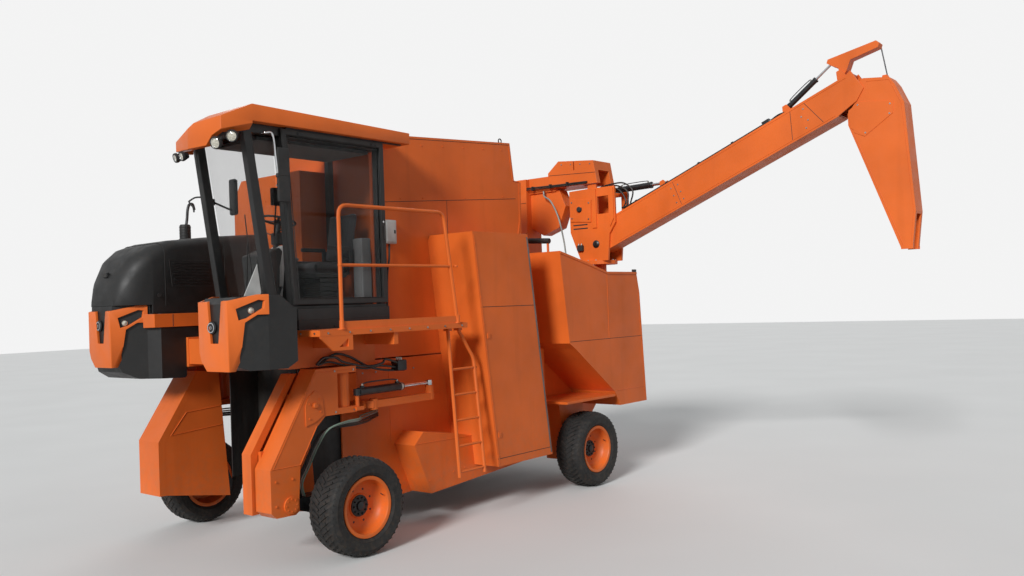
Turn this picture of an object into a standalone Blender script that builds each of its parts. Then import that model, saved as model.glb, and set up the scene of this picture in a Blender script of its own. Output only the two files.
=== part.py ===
"""Coffee harvester: a high-clearance machine that straddles a row of bushes and shakes off the cherries.

Metres, +Z up. The machine faces -Y, so +X is its left side, where the cab door, ladder and discharge boom are.
Shapes are written in the machine's own frame, whose origin is on the floor in the middle of the tunnel, between
the axles. The empty called machine then sets the middle of the whole outline over the world's origin.
"""

import math

import bmesh
import bpy
from mathutils import Matrix, Vector

# Clearances
SEAT = 0.0004
SWING = 0.012
SHEET = 0.02

# Half the tunnel's width, from which the frame, legs, housings and wheels take their distance
TUNNEL_HALF = 0.80

# Wheels
TYRE_RADIUS = 0.505
TYRE_WIDTH = 0.40
BEAD_RADIUS = 0.292
WHEEL_X = TUNNEL_HALF + 0.65
FRONT_AXLE_Y = -2.07
REAR_AXLE_Y = 2.05
DISC_HALF = 0.012
HUB_RADIUS = 0.127
TYRE_STEPS = 24
RIM_STEPS = TYRE_STEPS

# Frame
BEAM_WIDTH = 0.22
BEAM_LOW = 1.95
BEAM_TOP = 2.28
FRAME_FRONT = -2.72
FRAME_REAR = 3.34
DECK_HALF = TUNNEL_HALF + 0.30
DECK_REAR = -1.45
DECK_LOW = 1.94
DECK_SHEET = 0.05

OUTBOARD = TUNNEL_HALF + SHEET + SEAT

# Front legs, which steer on upright barrels
KINGPIN_X = TUNNEL_HALF + 0.32
KINGPIN_Y = -1.96
BARREL_RADIUS = 0.085
BARREL_LOW = 1.50
BARREL_TOP = 1.86
LEG_INNER = KINGPIN_X - 0.15
LEG_OUTER = KINGPIN_X + 0.105
FORK_PLATE = 0.065
STEER_RANGE = 22.0

# Side housings with the shaker rotors
HOUSING_X = TUNNEL_HALF + 0.75
HOUSING_LOW = 0.57
HOUSING_TOP = 3.40
HOUSING_FRONT_TOP = -0.27
HOUSING_FRONT_LOW = 0.06
HOUSING_REAR_TOP = 0.77
HOUSING_REAR_LOW = 1.13
WALL_FRONT = -1.72
WALL_LOW = 0.33
ROTOR_X = TUNNEL_HALF + 0.21
ROTOR_RADIUS = 0.46
ROTOR_SHAFT = 0.085
ROTOR_LAYERS = 9
ROTOR_RODS = 8
ROD_WIDTH = 0.022

# Upper body
BODY_HALF = 0.80
BODY_FRONT = -1.18
BODY_TOP_FRONT = 4.56
BODY_TOP_REAR = 4.73

# Hopper at the rear
HOPPER_HALF = TUNNEL_HALF + 0.78
HOPPER_FRONT = 1.40
HOPPER_REAR = 3.42
HOPPER_LOW = 1.03
HOPPER_TOP = 3.20
HOPPER_SHEET = SHEET * 1.5

# Cab
CAB_LEFT = 1.12
CAB_RIGHT = 0.20
CAB_REAR = -1.27
CAB_FLOOR = 2.58
CAB_TOP = 4.40
BASE_LOW = BEAM_TOP + SEAT
PILLAR = 0.075
DOOR_THICK = 0.035
DOOR_SLIDE = 0.75

# Bonnet and the two noses
NOSE_X = 1.11
BONNET_X = -NOSE_X
BONNET_HALF = 0.49
BONNET_SHEET = 0.025
BONNET_REAR = -1.72
NOSE_FRONT = -3.47
NOSE_SHEET = 0.03
NOSE_LOW = 1.985
POD_HALF = 0.40
POD_SHOULDER = -3.13
POD_FRONT = NOSE_FRONT + NOSE_SHEET + SEAT
POD_PLAN = [(POD_HALF, POD_SHOULDER), (0.225, POD_FRONT), (-0.225, POD_FRONT), (-POD_HALF, POD_SHOULDER)]
VISOR_FRONT = -3.42
STRIPE_TOP = 2.56
BROW_REAR = -3.10
BROW_TOP = 2.655

# Platform
PLATFORM_OUTER = 1.60
PLATFORM_LOW = 2.27
PLATFORM_TOP = 2.33
RAIL_TOP = 3.59
RAIL_RADIUS = 0.021

# Discharge turret, boom and spout, drawn with the boom swung out to the left
TURRET_X = 1.05
TURRET_Y = 3.12
TURRET_FOOT = 3.06
BOOM_WIDTH = 0.31
BOOM_HEIGHT = 0.41
BOOM_ANGLE = 22.2
BOOM_ROOT_X = 1.12
BOOM_ROOT_Z = 3.20
BOOM_LENGTH = 3.93
BOOM_PIVOT_X = 1.30
BOOM_PIVOT_Z = 3.42
CHEEK = 0.04
BOOM_HEAD = 4.28
SPOUT_PIVOT_X = 5.00
SPOUT_PIVOT_Z = 5.00
SPOUT_REACH = 5.61

for old in list(bpy.data.objects):
    bpy.data.objects.remove(old, do_unlink=True)
parts = bpy.data.collections.new("coffee_harvester")
helpers = bpy.data.collections.new("helpers")
bpy.context.scene.collection.children.link(parts)
bpy.context.scene.collection.children.link(helpers)
machine = bpy.data.objects.new("machine", None)
parts.objects.link(machine)


# Materials: colour, roughness, metallic
PAINTS = {
    "orange_paint": ((0.80, 0.17, 0.035), 0.42, 0.0),
    "black_plastic": ((0.017, 0.017, 0.016), 0.45, 0.0),
    "tyre_rubber": ((0.020, 0.020, 0.019), 0.85, 0.0),
    "rubber_sheet": ((0.014, 0.014, 0.014), 0.80, 0.0),
    "glass": ((0.55, 0.62, 0.62), 0.05, 0.0),
    "dark_metal": ((0.030, 0.031, 0.033), 0.40, 0.6),
    "polished_rod": ((0.55, 0.56, 0.58), 0.20, 1.0),
    "grey_cloth": ((0.045, 0.045, 0.048), 0.85, 0.0),
    "cast_metal": ((0.12, 0.12, 0.12), 0.60, 0.8),
}


def paint(name):
    """The named Principled material, made once."""
    if name in bpy.data.materials:
        return bpy.data.materials[name]
    colour, roughness, metallic = PAINTS[name]
    material = bpy.data.materials.new(name)
    material.use_nodes = True
    shader = material.node_tree.nodes["Principled BSDF"]
    shader.inputs["Base Color"].default_value = (*colour, 1.0)
    shader.inputs["Roughness"].default_value = roughness
    shader.inputs["Metallic"].default_value = metallic
    return material


def shape(name, mesh):
    """A helper solid, hidden from the render until it becomes a part or is fused into one."""
    made = bpy.data.objects.new(name, mesh)
    helpers.objects.link(made)
    made.parent = machine
    made.hide_render = True
    made.display_type = "WIRE"
    return made


def shape_from(name, bm):
    """Writes a bmesh to a helper solid with its faces pointing out."""
    bm.normal_update()
    bmesh.ops.recalc_face_normals(bm, faces=bm.faces)
    if bm.calc_volume(signed=True) < 0:
        bmesh.ops.reverse_faces(bm, faces=bm.faces)
    mesh = bpy.data.meshes.new(name)
    bm.to_mesh(mesh)
    bm.free()
    return shape(name, mesh)


def box(low, high):
    """A box between two corners."""
    low, high = Vector(low), Vector(high)
    bm = bmesh.new()
    bmesh.ops.create_cube(bm, size=1.0)
    bmesh.ops.scale(bm, vec=high - low, verts=bm.verts)
    bmesh.ops.translate(bm, vec=(low + high) / 2, verts=bm.verts)
    return shape_from("box", bm)


def round_bar(start, end, radius, sides=12, end_radius=None):
    """A cylinder, or a cone, from one point to another."""
    start, end = Vector(start), Vector(end)
    along = end - start
    bm = bmesh.new()
    bmesh.ops.create_cone(
        bm, cap_ends=True, segments=sides, radius1=radius,
        radius2=radius if end_radius is None else end_radius, depth=along.length,
    )
    turn = along.to_track_quat("Z", "Y").to_matrix().to_4x4()
    bm.transform(Matrix.Translation((start + end) / 2) @ turn)
    return shape_from("bar", bm)


AXIS_MAPS = {
    "X": Matrix(((0, 0, 1, 0), (1, 0, 0, 0), (0, 1, 0, 0), (0, 0, 0, 1))),
    "Y": Matrix(((1, 0, 0, 0), (0, 0, 1, 0), (0, 1, 0, 0), (0, 0, 0, 1))),
    "Z": Matrix.Identity(4),
}


def from_curve(name, curve, matrix):
    """Turns a curve into a closed mesh solid, its caps welded."""
    holder = bpy.data.objects.new(name, curve)
    mesh = bpy.data.meshes.new_from_object(holder)
    bpy.data.objects.remove(holder)
    bpy.data.curves.remove(curve)
    bm = bmesh.new()
    bm.from_mesh(mesh)
    bpy.data.meshes.remove(mesh)
    bmesh.ops.remove_doubles(bm, verts=bm.verts, dist=0.00002)
    bm.transform(matrix)
    return shape_from(name, bm)


def plate(outline, axis, low, high):
    """A flat outline, in the two other axes in alphabetical order, given a thickness along one axis."""
    curve = bpy.data.curves.new("outline", "CURVE")
    curve.dimensions = "2D"
    curve.fill_mode = "BOTH"
    curve.extrude = (high - low) / 2
    spline = curve.splines.new("POLY")
    spline.points.add(len(outline) - 1)
    for point, (u, v) in zip(spline.points, outline):
        point.co = (u, v, 0, 1)
    spline.use_cyclic_u = True
    return from_curve("plate", curve, AXIS_MAPS[axis] @ Matrix.Translation((0, 0, (low + high) / 2)))


def bent(points, radius, steps=4):
    """The route's points with each inner corner turned into an arc."""
    points = [Vector(p) for p in points]
    route = [points[0]]
    for before, corner, after in zip(points, points[1:], points[2:]):
        toward = (before - corner).normalized()
        onward = (after - corner).normalized()
        half = toward.angle(onward) / 2
        back = min(radius / math.tan(half), (before - corner).length * 0.45, (after - corner).length * 0.45)
        start, end = corner + toward * back, corner + onward * back
        for i in range(steps + 1):
            t = i / steps
            route.append(start * (1 - t) ** 2 + corner * 2 * t * (1 - t) + end * t * t)
    route.append(points[-1])
    return route


def arched(half, low, top, radius, steps=5):
    """A section's outline in X and Z: a flat foot, upright sides and two rounded shoulders."""
    outline = [(-half, low)]
    for i in range(steps + 1):
        a = math.pi - i * math.pi / 2 / steps
        outline.append((-half + radius + radius * math.cos(a), top - radius + radius * math.sin(a)))
    return outline + [(-u, v) for u, v in reversed(outline)]


def loft(sections, middle):
    """A closed body through sections given as (y, outline in X and Z), about a middle plane's X."""
    bm = bmesh.new()
    rows = [[bm.verts.new((middle + u, y, v)) for u, v in outline] for y, outline in sections]
    for row, onward in zip(rows, rows[1:]):
        for i in range(len(row)):
            j = (i + 1) % len(row)
            bm.faces.new((row[i], row[j], onward[j], onward[i]))
    bm.faces.new(rows[0])
    bm.faces.new(rows[-1])
    return shape_from("loft", bm)


def block_on(*corners):
    """A block that lies on the plane through three points, named anticlockwise as seen from above."""
    first, second, third = [Vector(c) for c in corners]
    normal = (second - first).cross(third - first).normalized()
    bm = bmesh.new()
    bmesh.ops.create_cube(bm, size=2.0)
    bmesh.ops.translate(bm, vec=(0, 0, 1.0), verts=bm.verts)
    bm.transform(Matrix.Translation((first + second + third) / 3) @ normal.to_track_quat("Z", "Y").to_matrix().to_4x4())
    return shape_from("block", bm)


def tube(points, radius, sides=2):
    """A round tube along points, with filled ends."""
    curve = bpy.data.curves.new("tube", "CURVE")
    curve.dimensions = "3D"
    curve.bevel_depth = radius
    curve.bevel_resolution = sides
    curve.use_fill_caps = True
    spline = curve.splines.new("POLY")
    spline.points.add(len(points) - 1)
    for point, place in zip(spline.points, points):
        point.co = (*place, 1)
    return from_curve("tube", curve, Matrix.Identity(4))


def turned(profile, centre, steps, axis="X"):
    """A solid of revolution. The profile's (radius, along) points run down its outer side."""
    bm = bmesh.new()
    verts = [bm.verts.new((r, 0, t)) for r, t in profile]
    closed = profile[0][0] > 0
    for a, b in zip(verts, verts[1:] + ([verts[0]] if closed else [])):
        bm.edges.new((a, b))
    mesh = bpy.data.meshes.new("turned")
    bm.to_mesh(mesh)
    bm.free()
    made = shape("turned", mesh)
    made.location = centre
    if axis == "X":
        made.rotation_euler = (0, math.pi / 2, 0)
    screw = made.modifiers.new("turn", "SCREW")
    screw.axis = "Z"
    screw.steps = steps
    screw.render_steps = steps
    screw.use_merge_vertices = True
    screw.merge_threshold = 0.00005
    return made


def fuse(base, *others):
    """Joins helper solids into the first one."""
    for other in others:
        join = base.modifiers.new("join", "BOOLEAN")
        join.operation = "UNION"
        join.object = other
    return base


def cut(base, *cutters):
    """Cuts helper solids out of the first one."""
    for cutter in cutters:
        take = base.modifiers.new("cut", "BOOLEAN")
        take.operation = "DIFFERENCE"
        take.object = cutter
    return base


def grown(outline, distance):
    """A clockwise or anticlockwise outline with every edge moved outwards by a distance."""
    turn = sum(a[0] * b[1] - b[0] * a[1] for a, b in zip(outline, outline[1:] + outline[:1]))
    sign = math.copysign(1.0, turn)
    result = []
    for before, corner, after in zip(outline[-1:] + outline[:-1], outline, outline[1:] + outline[:1]):
        first = (Vector(corner) - Vector(before)).normalized()
        second = (Vector(after) - Vector(corner)).normalized()
        first_out = Vector((first.y, -first.x)) * sign
        second_out = Vector((second.y, -second.x)) * sign
        shift = (first_out + second_out) * (distance / (1 + first_out.dot(second_out)))
        result.append((corner[0] + shift.x, corner[1] + shift.y))
    return result


def keep(base, region):
    """Keeps what a helper solid and a region share."""
    share = base.modifiers.new("keep", "BOOLEAN")
    share.operation = "INTERSECT"
    share.object = region
    return base


def mirrored(points, side):
    """Outline points with their first axis on the machine's other side when side is -1."""
    return [(u * side, v) for u, v in points]


def span(side, inner, outer):
    """The low and high X of a piece given by its distances from the middle plane."""
    return (inner, outer) if side > 0 else (-outer, -inner)


def part(name, made, material, axis_empty=None):
    """Makes a helper solid one of the parts: named, painted, visible and parented to its axis."""
    made.name = name
    made.data.name = name
    made.hide_render = False
    made.display_type = "TEXTURED"
    helpers.objects.unlink(made)
    parts.objects.link(made)
    made.data.materials.clear()
    made.data.materials.append(paint(material))
    made.data.shade_smooth()
    made.data.set_sharp_from_angle(angle=math.radians(35))
    if axis_empty is not None:
        made.parent = axis_empty
        made.location = made.location - place_of(axis_empty)
    return made


def place_of(empty):
    """Where an empty lies in the machine's frame."""
    place = Vector((0, 0, 0))
    while empty is not machine:
        place += empty.location
        empty = empty.parent
    return place


def axis_at(name, place, carrier=None):
    """An empty on a joint's axis, at a place given in the machine's frame."""
    empty = bpy.data.objects.new(name, None)
    parts.objects.link(empty)
    empty.parent = carrier or machine
    empty.location = Vector(place) - (place_of(carrier) if carrier else Vector((0, 0, 0)))
    return empty


SIDES = (("left", 1), ("right", -1))


# Wheels
TYRE_HALF = TYRE_WIDTH / 2
BEAD_AT = 0.15
LIP = 0.024


def make_wheel(name, x, y, carrier):
    """One tyre on its dished rim. The rim's outer face looks away from the machine."""
    axis = axis_at(name + "_axis", (x, y, TYRE_RADIUS), carrier)
    half = (
        (BEAD_RADIUS, BEAD_AT),
        (BEAD_RADIUS + LIP + 0.002, BEAD_AT),
        (BEAD_RADIUS + LIP + 0.018, TYRE_HALF - 0.015),
        (TYRE_RADIUS - 0.09, TYRE_HALF),
        (TYRE_RADIUS - 0.035, TYRE_HALF - 0.022),
        (TYRE_RADIUS - 0.006, TYRE_HALF - 0.09),
        (TYRE_RADIUS, 0.04),
    )
    profile = list(half) + [(r, -t) for r, t in reversed(half)]
    tyre = turned(profile, (x, y, TYRE_RADIUS), TYRE_STEPS)
    part("tyre_" + name, tyre, "tyre_rubber", axis)
    seat = BEAD_RADIUS - SEAT
    lip = BEAD_AT + SEAT
    dish = (
        (0.0, 0.045),
        (HUB_RADIUS, 0.045),
        (HUB_RADIUS, DISC_HALF),
        (0.215, DISC_HALF),
        (0.262, 0.06),
        (seat - 0.012, lip + LIP * 0.8),
        (BEAD_RADIUS + LIP, lip + LIP * 0.8),
        (BEAD_RADIUS + LIP, lip),
        (seat, lip),
        (seat, -lip),
        (BEAD_RADIUS + LIP, -lip),
        (BEAD_RADIUS + LIP, -lip - LIP * 0.8),
        (seat - 0.012, -lip - LIP * 0.8),
        (0.235, -DISC_HALF),
        (0.0, -DISC_HALF),
    )
    outward = 1 if x > 0 else -1
    rim = turned(dish if outward > 0 else [(r, -t) for r, t in reversed(dish)], (x, y, TYRE_RADIUS), RIM_STEPS)
    part("rim_" + name, rim, "orange_paint", axis)


# Front legs
LEG_FRONT_Y = -2.96
LEG_KINK_Z = 0.98
LEG_TOP_Y = -2.37
LEG_FOOT_Y = -2.73
LEG_FOOT_Z = 0.605
LEG_FOOT_REAR = LEG_FOOT_Y + 0.105
BAR_INNER = TUNNEL_HALF
BAR_OUTER = TUNNEL_HALF + 0.15
FORK_REAR = KINGPIN_Y + BARREL_RADIUS + 0.035


def leg_outline():
    """The gooseneck's side view: down from the fork, forward round the wheel, and back to the arm's boss."""
    web = KINGPIN_Y - BARREL_RADIUS - 0.05
    return [
        (LEG_FRONT_Y, LEG_KINK_Z),
        (LEG_TOP_Y, BARREL_TOP + SEAT + FORK_PLATE),
        (FORK_REAR, BARREL_TOP + SEAT + FORK_PLATE),
        (FORK_REAR, BARREL_TOP + SEAT),
        (web, BARREL_TOP + SEAT),
        (web, BARREL_LOW - SEAT),
        (FORK_REAR, BARREL_LOW - SEAT),
        (FORK_REAR, BARREL_LOW - SEAT - FORK_PLATE),
        (web - 0.17, BARREL_LOW - SEAT - FORK_PLATE),
        (web - 0.28, 1.34),
        (LEG_FOOT_Y + 0.13, LEG_KINK_Z),
        (LEG_FOOT_REAR, LEG_FOOT_Z + 0.06),
        (LEG_FOOT_REAR, LEG_FOOT_Z - 0.075),
        (LEG_FOOT_Y + 0.06, LEG_FOOT_Z - 0.105),
        (LEG_FRONT_Y + 0.06, LEG_FOOT_Z - 0.10),
        (LEG_FRONT_Y, 0.56),
    ]


STEER_ARM_Y = KINGPIN_Y + 0.14
STEER_ARM_X = KINGPIN_X + 0.09
STEER_PIN_Z = 1.64
ANCHOR_Y = -0.66
ANCHOR_LOW = 1.44
ANCHOR_X = KINGPIN_X + 0.02
CYLINDER_RADIUS = 0.045
PISTON_RADIUS = 0.02
EYE_RADIUS = 0.04


def make_front_leg(side_name, side):
    """The steered leg with its guard bar and inner sheet, its trailing arm and its wheel."""
    axis = axis_at("kingpin_" + side_name, (KINGPIN_X * side, KINGPIN_Y, BARREL_LOW))
    leg = plate(leg_outline(), "X", *span(side, LEG_INNER, LEG_OUTER))
    front = LEG_FRONT_Y - 0.03
    guard = [
        (front, 0.52),
        (front, LEG_KINK_Z + 0.14),
        (front + 0.50, BARREL_TOP + 0.02),
        (front + 0.58, BARREL_TOP + 0.02),
        (front + 0.08, LEG_KINK_Z + 0.12),
        (front + 0.08, 0.52),
    ]
    bar_outer = BAR_OUTER if side > 0 else LEG_OUTER
    bar = plate(guard, "X", *span(side, BAR_INNER, bar_outer))
    sheet = plate(
        [
            (front + 0.02, 0.53),
            (front + 0.02, LEG_KINK_Z + 0.13),
            (front + 0.52, BARREL_TOP + 0.01),
            (KINGPIN_Y - 0.25, BARREL_TOP + 0.01),
            (KINGPIN_Y - 0.14, 0.38),
        ],
        "X", *span(side, BAR_INNER + 0.001, BAR_INNER + SHEET),
    )
    blocks = [
        box((span(side, BAR_INNER + 0.005, LEG_INNER + 0.02)[0], y, z),
            (span(side, BAR_INNER + 0.005, LEG_INNER + 0.02)[1], y + 0.09, z + 0.12))
        for y, z in ((LEG_FRONT_Y + 0.03, 0.62), (LEG_FRONT_Y + 0.06, 1.02), (LEG_TOP_Y - 0.16, 1.55))
    ]
    boss = round_bar(
        (LEG_INNER * side + 0.02 * side, LEG_FOOT_Y, LEG_FOOT_Z),
        (LEG_OUTER * side + 0.018 * side, LEG_FOOT_Y, LEG_FOOT_Z), 0.085, 16,
    )
    upper = round_bar(
        (LEG_INNER * side + 0.02 * side, LEG_TOP_Y, 1.60),
        (LEG_OUTER * side + 0.012 * side, LEG_TOP_Y, 1.60), 0.045, 12,
    )
    arm_plate_low = box(
        (span(side, KINGPIN_X - 0.02, STEER_ARM_X + 0.05)[0], FORK_REAR - 0.03, BARREL_LOW - SEAT - 0.05),
        (span(side, KINGPIN_X - 0.02, STEER_ARM_X + 0.05)[1], STEER_ARM_Y + 0.05, BARREL_LOW - SEAT - 0.012),
    )
    pin = round_bar(
        (STEER_ARM_X * side, STEER_ARM_Y, BARREL_LOW - 0.04),
        (STEER_ARM_X * side, STEER_ARM_Y, STEER_PIN_Z - 0.035 - SEAT), 0.022, 12,
    )
    leg = fuse(leg, bar, sheet, *blocks, boss, upper, arm_plate_low, pin)
    part("front_leg_" + side_name, leg, "orange_paint", axis)

    reach = WHEEL_X - DISC_HALF - SEAT
    knuckle = plate(
        [
            (LEG_FOOT_REAR + SEAT, LEG_FOOT_Z + 0.04),
            (LEG_FOOT_REAR + SEAT, LEG_FOOT_Z - 0.07),
            (FRONT_AXLE_Y - 0.10, TYRE_RADIUS - 0.13),
            (FRONT_AXLE_Y + 0.10, TYRE_RADIUS - 0.13),
            (FRONT_AXLE_Y + 0.14, TYRE_RADIUS),
            (FRONT_AXLE_Y + 0.08, TYRE_RADIUS + 0.14),
            (FRONT_AXLE_Y - 0.12, TYRE_RADIUS + 0.14),
        ],
        "X", *span(side, LEG_INNER + 0.03, LEG_OUTER - 0.03),
    )
    motor = round_bar(((LEG_OUTER - 0.05) * side, FRONT_AXLE_Y, TYRE_RADIUS), (reach * side, FRONT_AXLE_Y, TYRE_RADIUS), 0.14, 16)
    part("knuckle_front_" + side_name, fuse(knuckle, motor), "dark_metal", axis)
    make_wheel("front_" + side_name, WHEEL_X * side, FRONT_AXLE_Y, axis)


def make_steering_cylinder(side_name, side):
    """The cylinder turns on the leg's pin, and its rod's eye sits on the frame's anchor pin."""
    leg_axis = bpy.data.objects["kingpin_" + side_name]
    start = Vector((STEER_ARM_X * side, STEER_ARM_Y, STEER_PIN_Z))
    end = Vector((ANCHOR_X * side, ANCHOR_Y, STEER_PIN_Z))
    along = (end - start).normalized()
    pivot = axis_at("steering_pin_" + side_name, start, leg_axis)
    eye = round_bar(start - Vector((0, 0, 0.035)), start + Vector((0, 0, 0.035)), EYE_RADIUS, 12)
    barrel = round_bar(start + along * 0.03, start + along * 0.70, CYLINDER_RADIUS, 12)
    bore = round_bar(start + along * 0.10, start + along * 0.74, PISTON_RADIUS + 0.0015, 12)
    part("steering_barrel_" + side_name, cut(fuse(barrel, eye), bore), "dark_metal", pivot)
    slide = axis_at("steering_slide_" + side_name, end, pivot)
    rod = round_bar(start + along * 0.40, end - along * 0.02, PISTON_RADIUS, 12)
    rod_eye = round_bar(end - Vector((0, 0, 0.03)), end + Vector((0, 0, 0.03)), EYE_RADIUS, 12)
    part("steering_rod_" + side_name, fuse(rod, rod_eye), "polished_rod", slide)


# Chassis
REAR_LEG_INNER = TUNNEL_HALF + 0.06
REAR_LEG_OUTER = TUNNEL_HALF + 0.40


def make_main_frame():
    """Two long beams beside the tunnel's roof, cross beams, the front deck, the barrels and the anchors."""
    inner = TUNNEL_HALF - BEAM_WIDTH
    frame = box((inner, FRAME_FRONT, BEAM_LOW), (TUNNEL_HALF, FRAME_REAR, BEAM_TOP))
    pieces = [box((-TUNNEL_HALF, FRAME_FRONT, BEAM_LOW), (-inner, FRAME_REAR, BEAM_TOP))]
    for y in (FRAME_FRONT + 0.01, -1.72, 1.20, FRAME_REAR - 0.21):
        pieces.append(box((-inner - 0.01, y, BEAM_LOW + 0.03), (inner + 0.01, y + 0.20, BEAM_TOP - 0.02)))
    for _, side in SIDES:
        low, high = span(side, TUNNEL_HALF - 0.02, DECK_HALF)
        deck_top = BEAM_TOP if side > 0 else DECK_LOW + DECK_SHEET
        pieces.append(box((low, FRAME_FRONT + 0.11, DECK_LOW), (high, DECK_REAR, deck_top)))
        pieces.append(
            round_bar((KINGPIN_X * side, KINGPIN_Y, BARREL_LOW), (KINGPIN_X * side, KINGPIN_Y, BARREL_TOP), BARREL_RADIUS, 16)
        )
        stay = [
            (KINGPIN_X - 0.08, KINGPIN_Y),
            (KINGPIN_X - 0.02, KINGPIN_Y + 0.07),
            (KINGPIN_X - 0.17, -1.60),
            (OUTBOARD + 0.02, -1.50),
            (OUTBOARD + 0.02, -1.74),
        ]
        pieces.append(plate(mirrored(stay, side), "Z", BARREL_LOW + 0.03, BARREL_TOP - 0.03))
        low, high = span(side, OUTBOARD, OUTBOARD + 0.06)
        pieces.append(box((low, -1.75, ANCHOR_LOW), (high, -1.46, DECK_LOW + 0.01)))
        anchor = [
            (OUTBOARD + 0.03, -1.62), (ANCHOR_X, -1.62), (ANCHOR_X + 0.045, -1.57), (ANCHOR_X + 0.045, ANCHOR_Y + 0.03),
            (ANCHOR_X - 0.045, ANCHOR_Y + 0.03), (ANCHOR_X - 0.045, -1.47), (OUTBOARD + 0.03, -1.47),
        ]
        pieces.append(plate(mirrored(anchor, side), "Z", ANCHOR_LOW, ANCHOR_LOW + 0.08))
        pieces.append(round_bar((ANCHOR_X * side, ANCHOR_Y, ANCHOR_LOW), (ANCHOR_X * side, ANCHOR_Y, STEER_PIN_Z - 0.03 - SEAT), 0.05, 10))
        pieces.append(round_bar((ANCHOR_X * side, -1.53, ANCHOR_LOW - 0.02), (ANCHOR_X * side, -1.53, ANCHOR_LOW + 0.10), 0.05, 10))
    part("main_frame", fuse(frame, *pieces), "orange_paint")


def make_rear_leg(side_name, side):
    """The fixed rear leg, its foot and the wheel motor, with the wheel."""
    low, high = span(side, REAR_LEG_INNER, REAR_LEG_OUTER)
    leg = plate(
        [
            (REAR_AXLE_Y - 0.30, 1.20),
            (REAR_AXLE_Y - 0.16, TYRE_RADIUS - 0.16),
            (REAR_AXLE_Y + 0.16, TYRE_RADIUS - 0.16),
            (REAR_AXLE_Y + 0.30, 1.20),
        ],
        "X", low, high,
    )
    reach = WHEEL_X - DISC_HALF - SEAT
    motor = round_bar(((REAR_LEG_OUTER - 0.05) * side, REAR_AXLE_Y, TYRE_RADIUS), (reach * side, REAR_AXLE_Y, TYRE_RADIUS), 0.14, 16)
    shelf_low, shelf_high = span(side, REAR_LEG_INNER, HOPPER_HALF + 0.02)
    shelf = box((shelf_low, 1.42, 1.17), (shelf_high, 2.56, 1.205))
    hanger_low, hanger_high = span(side, OUTBOARD, REAR_LEG_OUTER - 0.1)
    hanger = box((hanger_low, 1.43, 1.19), (hanger_high, 1.60, 1.90))
    part("rear_leg_" + side_name, fuse(leg, motor, shelf, hanger), "orange_paint")
    make_wheel("rear_" + side_name, WHEEL_X * side, REAR_AXLE_Y, None)


# Side housings
def housing_edge(z, front):
    """The Y of the housing's leaning front or rear edge at a height."""
    low = HOUSING_FRONT_LOW if front else HOUSING_REAR_LOW
    top = HOUSING_FRONT_TOP if front else HOUSING_REAR_TOP
    return low + (top - low) * (z - HOUSING_LOW) / (HOUSING_TOP - HOUSING_LOW)


def housing_outline(low, top, inset):
    """The leaning side view between two heights, moved in from its two edges."""
    return [
        (housing_edge(low, True) + inset, low),
        (housing_edge(low, False) - inset, low),
        (housing_edge(top, False) - inset, top),
        (housing_edge(top, True) + inset, top),
    ]


ROTOR_LOW = HOUSING_LOW + SHEET + SEAT
ROTOR_TOP = 1.90


def make_side_housing(side_name, side):
    """The tunnel's side wall with the leaning rotor housing on it, open to the tunnel, and the low toe box."""
    shell = plate(housing_outline(HOUSING_LOW, HOUSING_TOP, 0), "X", *span(side, TUNNEL_HALF + 0.001, HOUSING_X))
    wall = plate(
        [
            (WALL_FRONT, 0.62),
            (WALL_FRONT, DECK_LOW - 0.005),
            (FRAME_REAR, DECK_LOW - 0.005),
            (FRAME_REAR, 1.10),
            (REAR_AXLE_Y + 0.55, WALL_LOW + 0.05),
            (HOUSING_REAR_LOW + 0.05, WALL_LOW + 0.12),
            (-0.92, WALL_LOW),
            (-1.30, 0.42),
        ],
        "X", *span(side, TUNNEL_HALF, TUNNEL_HALF + SHEET),
    )
    toe_low, toe_high = span(side, TUNNEL_HALF + 0.005, TUNNEL_HALF + 0.36)
    toe = plate(
        [
            (-0.70, WALL_LOW + 0.02), (-0.95, 0.94), (-0.80, 1.08), (-0.30, 1.00), (0.03, 0.93), (0.10, 0.60),
            (HOUSING_REAR_LOW - 0.05, 0.60), (HOUSING_REAR_LOW - 0.05, WALL_LOW + 0.14),
        ],
        "X", toe_low, toe_high,
    )
    open_low, open_high = span(side, TUNNEL_HALF - 0.1, HOUSING_X - SHEET)
    bay = plate(housing_outline(HOUSING_LOW + SHEET, ROTOR_TOP + SEAT, SHEET), "X", open_low, open_high)
    upper_bay = plate(housing_outline(ROTOR_TOP + 0.045, HOUSING_TOP - SHEET, SHEET), "X", open_low, open_high)
    corner = [
        (TUNNEL_HALF - 0.1, HOUSING_TOP - 0.2), (TUNNEL_HALF - 0.1, HOUSING_TOP + 0.1), (TUNNEL_HALF + 0.12, HOUSING_TOP + 0.1),
    ]
    chamfer = plate(mirrored(corner, side), "Y", HOUSING_FRONT_TOP - 0.2, HOUSING_REAR_TOP + 0.2)
    part("side_housing_" + side_name, cut(fuse(shell, wall, toe), bay, upper_bay, chamfer), "orange_paint")


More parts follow.
